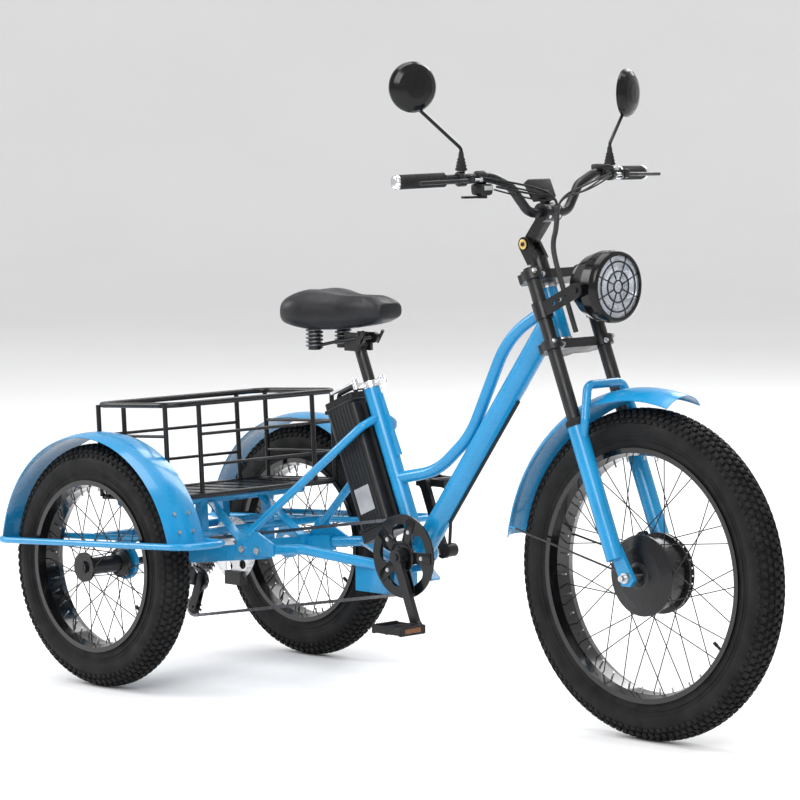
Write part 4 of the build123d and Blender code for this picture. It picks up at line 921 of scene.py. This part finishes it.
class TRICYCLE_OT_drive(bpy.types.Operator):
    """Add the roller chain, the chain guard's arms and the pedals with their reflectors"""
    bl_idname = "tricycle.drive"
    bl_label = "Drive"

    def execute(self, context):
        self.chain()
        self.guard()
        for side in ("right", "left"):
            self.pedal(side)
        return {"FINISHED"}

    def guard(self):
        """Five broad arms and a hub plate on the chain guard, with the crank's bolts."""
        guard = middle("chain_guard")
        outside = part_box("chain_guard")[0][1]
        radius = size("chain_guard").z / 2
        shape = bmesh.new()
        turned_piece("guard_hub", [(0, 0.024), (-0.001, 0.036), (0.003, 0.038), (0.0042, 0.034),
                                   (0.0042, 0.024)],
                     facing(-ACROSS, Vector((guard.x, outside, guard.z))), "crankset",
                     "shiny_plastic", 48)
        for number in range(5):
            angle = 2 * pi * number / 5 + 0.3
            turn = (Matrix.Translation((guard.x, outside - 0.001, guard.z))
                    @ Matrix.Rotation(angle, 4, "Y") @ Matrix.Translation((0, 0, radius * 0.62)))
            add_rounded_block(shape, turn, (0.026, 0.003, radius * 0.62), 0.0012)
        piece_from(shape, "guard_arms", "crankset", "shiny_plastic")
        bolts = bmesh.new()
        ring_of_bolts(bolts, Vector((guard.x, outside - 0.0024, guard.z)), -ACROSS,
                      radius * 0.62, 5, 0.007, 0.003)
        piece_from(bolts, "guard_bolts", "crankset", "steel", False)

    def loop(self):
        """Closed line of the chain as a list of points in the XZ plane."""
        signed = sprockets()
        points = []
        tangents = []
        for (x0, z0, r0), (x1, z1, r1) in zip(signed, signed[1:] + signed[:1]):
            across, up = x1 - x0, z1 - z0
            reach = hypot(across, up)
            bend = (r1 - r0) / reach
            unit = Vector((across / reach, up / reach))
            left = Vector((-unit.y, unit.x))
            heading = unit * (1 - bend * bend) ** 0.5 - left * bend
            normal = Vector((-heading.y, heading.x))
            tangents.append((Vector((x0, z0)) - normal * r0, Vector((x1, z1)) - normal * r1))
        for number, (start, end) in enumerate(tangents):
            run = end - start
            count = max(2, int(run.length / 0.002))
            points += [start + run * step / count for step in range(count)]
            x, z, r = signed[(number + 1) % len(signed)]
            centre = Vector((x, z))
            finish = tangents[(number + 1) % len(tangents)][0]
            first, last = end - centre, finish - centre
            swept = -first.angle_signed(last)
            if r > 0 and swept < 0:
                swept += 2 * pi
            if r < 0 and swept > 0:
                swept -= 2 * pi
            count = max(2, int(abs(swept) * abs(r) / 0.002))
            for step in range(count):
                turn = Matrix.Rotation(swept * step / count, 2)
                points.append(centre + turn @ first)
        return points

    def chain(self):
        """Roller chain laid link by link along its loop."""
        points = self.loop()
        total = sum((b - a).length for a, b in zip(points, points[1:] + points[:1]))
        count = 2 * round(total / CHAIN_PITCH / 2)
        step = total / count
        joints, walked, target = [], 0.0, 0.0
        for a, b in zip(points, points[1:] + points[:1]):
            leap = (b - a).length
            while target <= walked + leap and len(joints) < count:
                joints.append(a + (b - a) * ((target - walked) / max(leap, 1e-9)))
                target += step
            walked += leap
        shape = bmesh.new()
        line = middle("chain").y
        for number, (a, b) in enumerate(zip(joints, joints[1:] + joints[:1])):
            run = b - a
            centre = Vector(((a.x + b.x) / 2, line, (a.y + b.y) / 2))
            along = Vector((run.x, 0, run.y)).normalized()
            turn = Matrix((along, ACROSS, along.cross(ACROSS))).transposed().to_4x4()
            place = Matrix.Translation(centre) @ turn
            apart = 0.0034 if number % 2 else 0.0024
            for side in (-1, 1):
                plate = place @ Matrix.Translation((0, side * apart, 0))
                made = bmesh.ops.create_circle(shape, cap_ends=True, segments=10, radius=0.0040,
                                               matrix=plate @ Matrix.Rotation(pi / 2, 4, "X"))
                for vert in made["verts"]:
                    local = plate.inverted() @ vert.co
                    local.x += CHAIN_PITCH / 2 if local.x > 0 else -CHAIN_PITCH / 2
                    vert.co = plate @ local
                face = next(iter(made["verts"][0].link_faces))
                raise_face(shape, face, ACROSS * side * 0.0009)
            pin = Vector((a.x, line, a.y))
            add_pin(shape, pin - ACROSS * 0.0046, pin + ACROSS * 0.0046, 0.0019, 8)
            add_pin(shape, pin - ACROSS * 0.0022, pin + ACROSS * 0.0022, 0.0037, 8)
        piece = piece_from(shape, "roller_chain", "frame", "dark_steel", False)
        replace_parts(piece, "chain")

    def pedal(self, side):
        """Platform pedal: toothed cage, spindle barrel and reflectors."""
        node = "pedal_" + side
        centre = middle(node)
        extent = size(node)
        shape = bmesh.new()
        half = extent / 2
        for end in (-1, 1):
            rail = centre + Vector((end * (half.x - 0.0035), 0, 0))
            add_block(shape, Matrix.Translation(rail), (0.006, extent.y, extent.z * 0.92))
            wall = centre + Vector((0, end * (half.y - 0.0035), 0))
            add_block(shape, Matrix.Translation(wall), (extent.x - 0.012, 0.006, extent.z * 0.80))
            for number in range(9):
                y = (number - 4) * extent.y / 9.4
                for top in (-1, 1):
                    tooth = rail + Vector((0, y, top * (half.z * 0.94)))
                    add_block(shape, Matrix.Translation(tooth), (0.0055, 0.0042, 0.0022))
        for end in (-1, 1):
            web = centre + Vector((end * extent.x * 0.23, 0, 0))
            add_block(shape, Matrix.Translation(web), (0.004, extent.y - 0.012, extent.z * 0.6))
        add_pin(shape, centre - ACROSS * half.y, centre + ACROSS * half.y, 0.0102, 24)
        cage = piece_from(shape, "cage_" + side, side + "_pedal", "plastic", False)
        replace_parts(soften(cage, 0.0007), node)
        glow = bmesh.new()
        for end in (-1, 1):
            rim = centre + Vector((end * (half.x - 0.0006), 0, 0))
            add_block(glow, Matrix.Translation(rim), (0.0012, extent.y * 0.62, extent.z * 0.52))
        soften(piece_from(glow, "reflector_" + side, side + "_pedal", "amber", False), 0.0004)


# Lamp

class TRICYCLE_OT_lamp(bpy.types.Operator):
    """Add the headlight's emitters, reflector rings and front ring"""
    bl_idname = "tricycle.lamp"
    bl_label = "Headlight"

    def execute(self, context):
        radius = size("headlight_lens").z / 2
        front = Vector((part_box("headlight_housing")[1][0], 0, middle("headlight_lens").z))
        back = (-1, 0, 0)
        turned_piece("lamp_reflector", [(0.012, radius - 0.001), (0.022, radius * 0.86),
                                        (0.036, radius * 0.62), (0.046, radius * 0.34),
                                        (0.050, radius * 0.14), (0.050, 0)],
                     facing(back, front), "headlight", "polished", 64)
        turned_piece("lamp_ring", [(0.004, radius + 0.0005), (0.0005, radius + 0.002),
                                   (0.0002, radius + 0.0055), (0.003, radius + 0.0095),
                                   (0.010, radius + 0.0118)],
                     facing(back, front), "headlight", "shiny_plastic", 72)
        bulbs = bmesh.new()
        for circle, count in ((0.046, 20), (0.024, 10)):
            for number in range(count):
                angle = 2 * pi * number / count
                point = front + Vector((-0.016, circle * cos(angle), circle * sin(angle)))
                bmesh.ops.create_uvsphere(bulbs, u_segments=12, v_segments=8, radius=0.0042,
                                          matrix=Matrix.Translation(point))
        piece_from(bulbs, "lamp_emitters", "headlight", "led")
        web = bmesh.new()
        for circle in (0.014, 0.035, 0.057):
            add_turned(web, [(-0.001, circle - 0.0015), (-0.001, circle + 0.0015),
                             (0.001, circle + 0.0015), (0.001, circle - 0.0015),
                             (-0.001, circle - 0.0015)],
                       facing(back, front + Vector((-0.0025, 0, 0))), 48)
        for number in range(8):
            angle = pi / 8 + 2 * pi * number / 8
            out = Vector((0, cos(angle), sin(angle)))
            start = front + Vector((-0.0025, 0, 0)) + out * 0.014
            add_pin(web, start, start + out * (radius - 0.014), 0.0015, 8)
        piece_from(web, "lamp_web", "headlight", "plastic")
        return {"FINISHED"}


# Battery

class TRICYCLE_OT_battery(bpy.types.Operator):
    """Add the ribbed battery case with its blank label and its end caps"""
    bl_idname = "tricycle.battery"
    bl_label = "Battery"

    def execute(self, context):
        centre = middle("battery_case")
        long, deep, wide = 0.312, 0.104, 0.084
        place = Matrix.Translation(centre) @ Matrix(
            (SEAT_BACK, ACROSS, SEAT_UP)).transposed().to_4x4()
        shape = bmesh.new()
        outline = []
        for number in range(64):
            angle = 2 * pi * number / 64
            c, s = cos(angle), sin(angle)
            x = abs(c) ** 0.28 * (1 if c > 0 else -1) * (deep / 2 - 0.0016)
            y = abs(s) ** 0.28 * (1 if s > 0 else -1) * (wide / 2 - 0.0016)
            outline.append(shape.verts.new((x, y, -long / 2 + 0.004)))
        base = shape.faces.new(outline)
        raise_face(shape, base, (0, 0, long - 0.008))
        ribs = 7
        for side in (-1, 1):
            for number in range(ribs):
                x = -deep / 2 + 0.018 + (deep - 0.036) * number / (ribs - 1)
                add_block(shape, Matrix.Translation((x, side * (wide / 2 - 0.0014), 0)),
                          (0.0052, 0.0026, long - 0.012))
        bmesh.ops.transform(shape, matrix=place, verts=shape.verts)
        case = piece_from(shape, "battery_shell", "battery", "anodised", False)
        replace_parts(soften(case, 0.0010), "battery_case")
        label = bmesh.new()
        spot = place @ Matrix.Translation((0.002, -wide / 2 + 0.0002, -long * 0.27))
        add_block(label, spot, (0.052, 0.0004, 0.062))
        piece_from(label, "battery_label", "battery", "label", False)
        ends = bmesh.new()
        for end in (-1, 1):
            add_block(ends, place @ Matrix.Translation((0, 0, end * (long / 2 - 0.005))),
                      (deep, wide, 0.010))
        round_edges(ends, 0.004, 3)
        piece_from(ends, "battery_ends", "battery", "plastic")
        return {"FINISHED"}


# Small fittings

class TRICYCLE_OT_fittings(bpy.types.Operator):
    """Add the crown bolts, the stem washers and the fork seals"""
    bl_idname = "tricycle.fittings"
    bl_label = "Fittings"

    def execute(self, context):
        bolts = bmesh.new()
        for up in (0, CROWN_PITCH):
            for side, _ in SIDES:
                for turn in (-0.012, 0.012):
                    point = fork_at(STANCHION_AHEAD + 0.020, side * (STANCHION_OUT + turn),
                                    up + turn * 0.4)
                    add_hex_bolt(bolts, point, STEER_AHEAD, 0.009, 0.006)
        piece_from(bolts, "crown_bolts", "fork", "steel", False)
        for side, label in SIDES:
            turned_piece("stem_washer_" + label,
                         [(0, 0.0048), (0, 0.0125), (0.0024, 0.0125), (0.0030, 0.0110),
                          (0.0030, 0.0048)],
                         facing(ACROSS * side, fork_at(-0.012, side * 0.0206, 0.260)), "fork",
                         "brass", 32)
            turned_piece("seal_" + label,
                         [(-0.010, 0.0215), (-0.001, 0.0225), (0.003, 0.0222), (0.006, 0.0195),
                          (0.008, 0.0172), (0.008, 0.0163)],
                         facing(STEER_UP, fork_at(STANCHION_AHEAD, side * STANCHION_OUT,
                                                  -SEAL_DOWN)), "lower_fork", "rubber", 40)
        return {"FINISHED"}


# Studio

class TRICYCLE_OT_studio(bpy.types.Operator):
    """Add the floor, the lights and the camera"""
    bl_idname = "tricycle.studio"
    bl_label = "Studio"

    def execute(self, context):
        settings = context.scene.tricycle_studio
        shape = bmesh.new()
        flat, curve, tall, steps = 15.0, 5.0, 13.0, 12
        profile = [(0, 0), (0, flat)]
        for step in range(1, steps + 1):
            angle = radians(90 * step / steps)
            profile.append((curve - curve * cos(angle), flat + curve * sin(angle)))
        profile.append((tall, flat + curve))
        add_turned(shape, profile, Matrix.Identity(4), 96)
        bmesh.ops.recalc_face_normals(shape, faces=shape.faces)
        mesh = bpy.data.meshes.new("studio_floor")
        shape.to_mesh(mesh)
        shape.free()
        for face in mesh.polygons:
            face.use_smooth = True
        floor = bpy.data.objects.new("studio_floor", mesh)
        context.scene.collection.objects.link(floor)
        paper = Finish("floor_paper", tuple(settings.floor), 0.75)
        paper.cloudy(0.01, 0.7)
        floor.data.materials.append(paper.material)
        self.lights(context, settings)
        self.camera(context, settings)
        return {"FINISHED"}

    def lights(self, context, settings):
        """Large soft lights and an even pale sky."""
        world = bpy.data.worlds.new("pale_sky")
        world.use_nodes = True
        sky = world.node_tree.nodes["Background"].inputs
        sky["Color"].default_value = (1, 1, 1, 1)
        sky["Strength"].default_value = 0.72
        context.scene.world = world
        context.scene.view_settings.view_transform = "Standard"
        power = settings.key_power
        for name, spot, extent, share in (("key", (4.5, -6.5, 5.5), 4.5, 1.0),
                                          ("side", (-6.0, -3.5, 4.0), 3.5, 0.55),
                                          ("back", (-2.0, 6.5, 5.5), 4.5, 0.6),
                                          ("top", (0.0, 0.0, 7.0), 5.0, 0.7)):
            lamp = bpy.data.lights.new(name, "AREA")
            lamp.shape = "SQUARE"
            lamp.size = extent
            lamp.energy = power * share
            light = bpy.data.objects.new(name, lamp)
            context.scene.collection.objects.link(light)
            light.matrix_world = facing(Vector(spot) - Vector((0, 0, 0.6)), spot)

    def camera(self, context, settings):
        """Camera on the right and ahead, a little above the saddle."""
        yaw, pitch, roll = 2.36001557, -0.0897686, -0.0059634
        look = Vector((cos(pitch) * cos(yaw), cos(pitch) * sin(yaw), sin(pitch)))
        right = look.cross(Vector((0, 0, 1))).normalized()
        up = right.cross(look)
        right, up = cos(roll) * right + sin(roll) * up, cos(roll) * up - sin(roll) * right
        data = bpy.data.cameras.new("camera")
        data.sensor_width = 36
        data.lens = settings.lens
        data.clip_end = 200
        camera = bpy.data.objects.new("camera", data)
        context.scene.collection.objects.link(camera)
        camera.matrix_world = Matrix.Translation((6.5503, -6.5750, 1.5613)) @ Matrix(
            (right, up, -look)).transposed().to_4x4()
        context.scene.camera = camera


class TRICYCLE_PT_panel(bpy.types.Panel):
    """Panel that lists the tricycle's settings and steps"""
    bl_idname = "TRICYCLE_PT_panel"
    bl_label = "Cargo tricycle"
    bl_space_type = "VIEW_3D"
    bl_region_type = "UI"
    bl_category = "Tricycle"

    def draw(self, context):
        column = self.layout.column(align=True)
        for group in (context.scene.tricycle_paint, context.scene.tricycle_tyres,
                      context.scene.tricycle_saddle, context.scene.tricycle_studio):
            for name in group.bl_rna.properties.keys():
                if name not in ("rna_type", "name"):
                    column.prop(group, name)
        for operator in STEPS:
            column.operator(operator.bl_idname)


STEPS = (TRICYCLE_OT_studio, TRICYCLE_OT_finishes, TRICYCLE_OT_tyres, TRICYCLE_OT_saddle,
         TRICYCLE_OT_cockpit, TRICYCLE_OT_wheels, TRICYCLE_OT_drive, TRICYCLE_OT_lamp,
         TRICYCLE_OT_battery, TRICYCLE_OT_fittings)
GROUPS = (TricyclePaint, TricycleTyres, TricycleSaddle, TricycleStudio)


def register():
    for group in GROUPS:
        bpy.utils.register_class(group)
    bpy.types.Scene.tricycle_paint = PointerProperty(type=TricyclePaint)
    bpy.types.Scene.tricycle_tyres = PointerProperty(type=TricycleTyres)
    bpy.types.Scene.tricycle_saddle = PointerProperty(type=TricycleSaddle)
    bpy.types.Scene.tricycle_studio = PointerProperty(type=TricycleStudio)
    for step in STEPS:
        bpy.utils.register_class(step)
    bpy.utils.register_class(TRICYCLE_PT_panel)


def unregister():
    bpy.utils.unregister_class(TRICYCLE_PT_panel)
    for step in reversed(STEPS):
        bpy.utils.unregister_class(step)
    del bpy.types.Scene.tricycle_studio
    del bpy.types.Scene.tricycle_saddle
    del bpy.types.Scene.tricycle_tyres
    del bpy.types.Scene.tricycle_paint
    for group in reversed(GROUPS):
        bpy.utils.unregister_class(group)


def main():
    """Runs every step in order."""
    register()
    bpy.ops.tricycle.studio()
    bpy.ops.tricycle.finishes()
    bpy.ops.tricycle.tyres()
    bpy.ops.tricycle.saddle()
    bpy.ops.tricycle.cockpit()
    bpy.ops.tricycle.wheels()
    bpy.ops.tricycle.drive()
    bpy.ops.tricycle.lamp()
    bpy.ops.tricycle.battery()
    bpy.ops.tricycle.fittings()


if __name__ == "__main__":
    main()
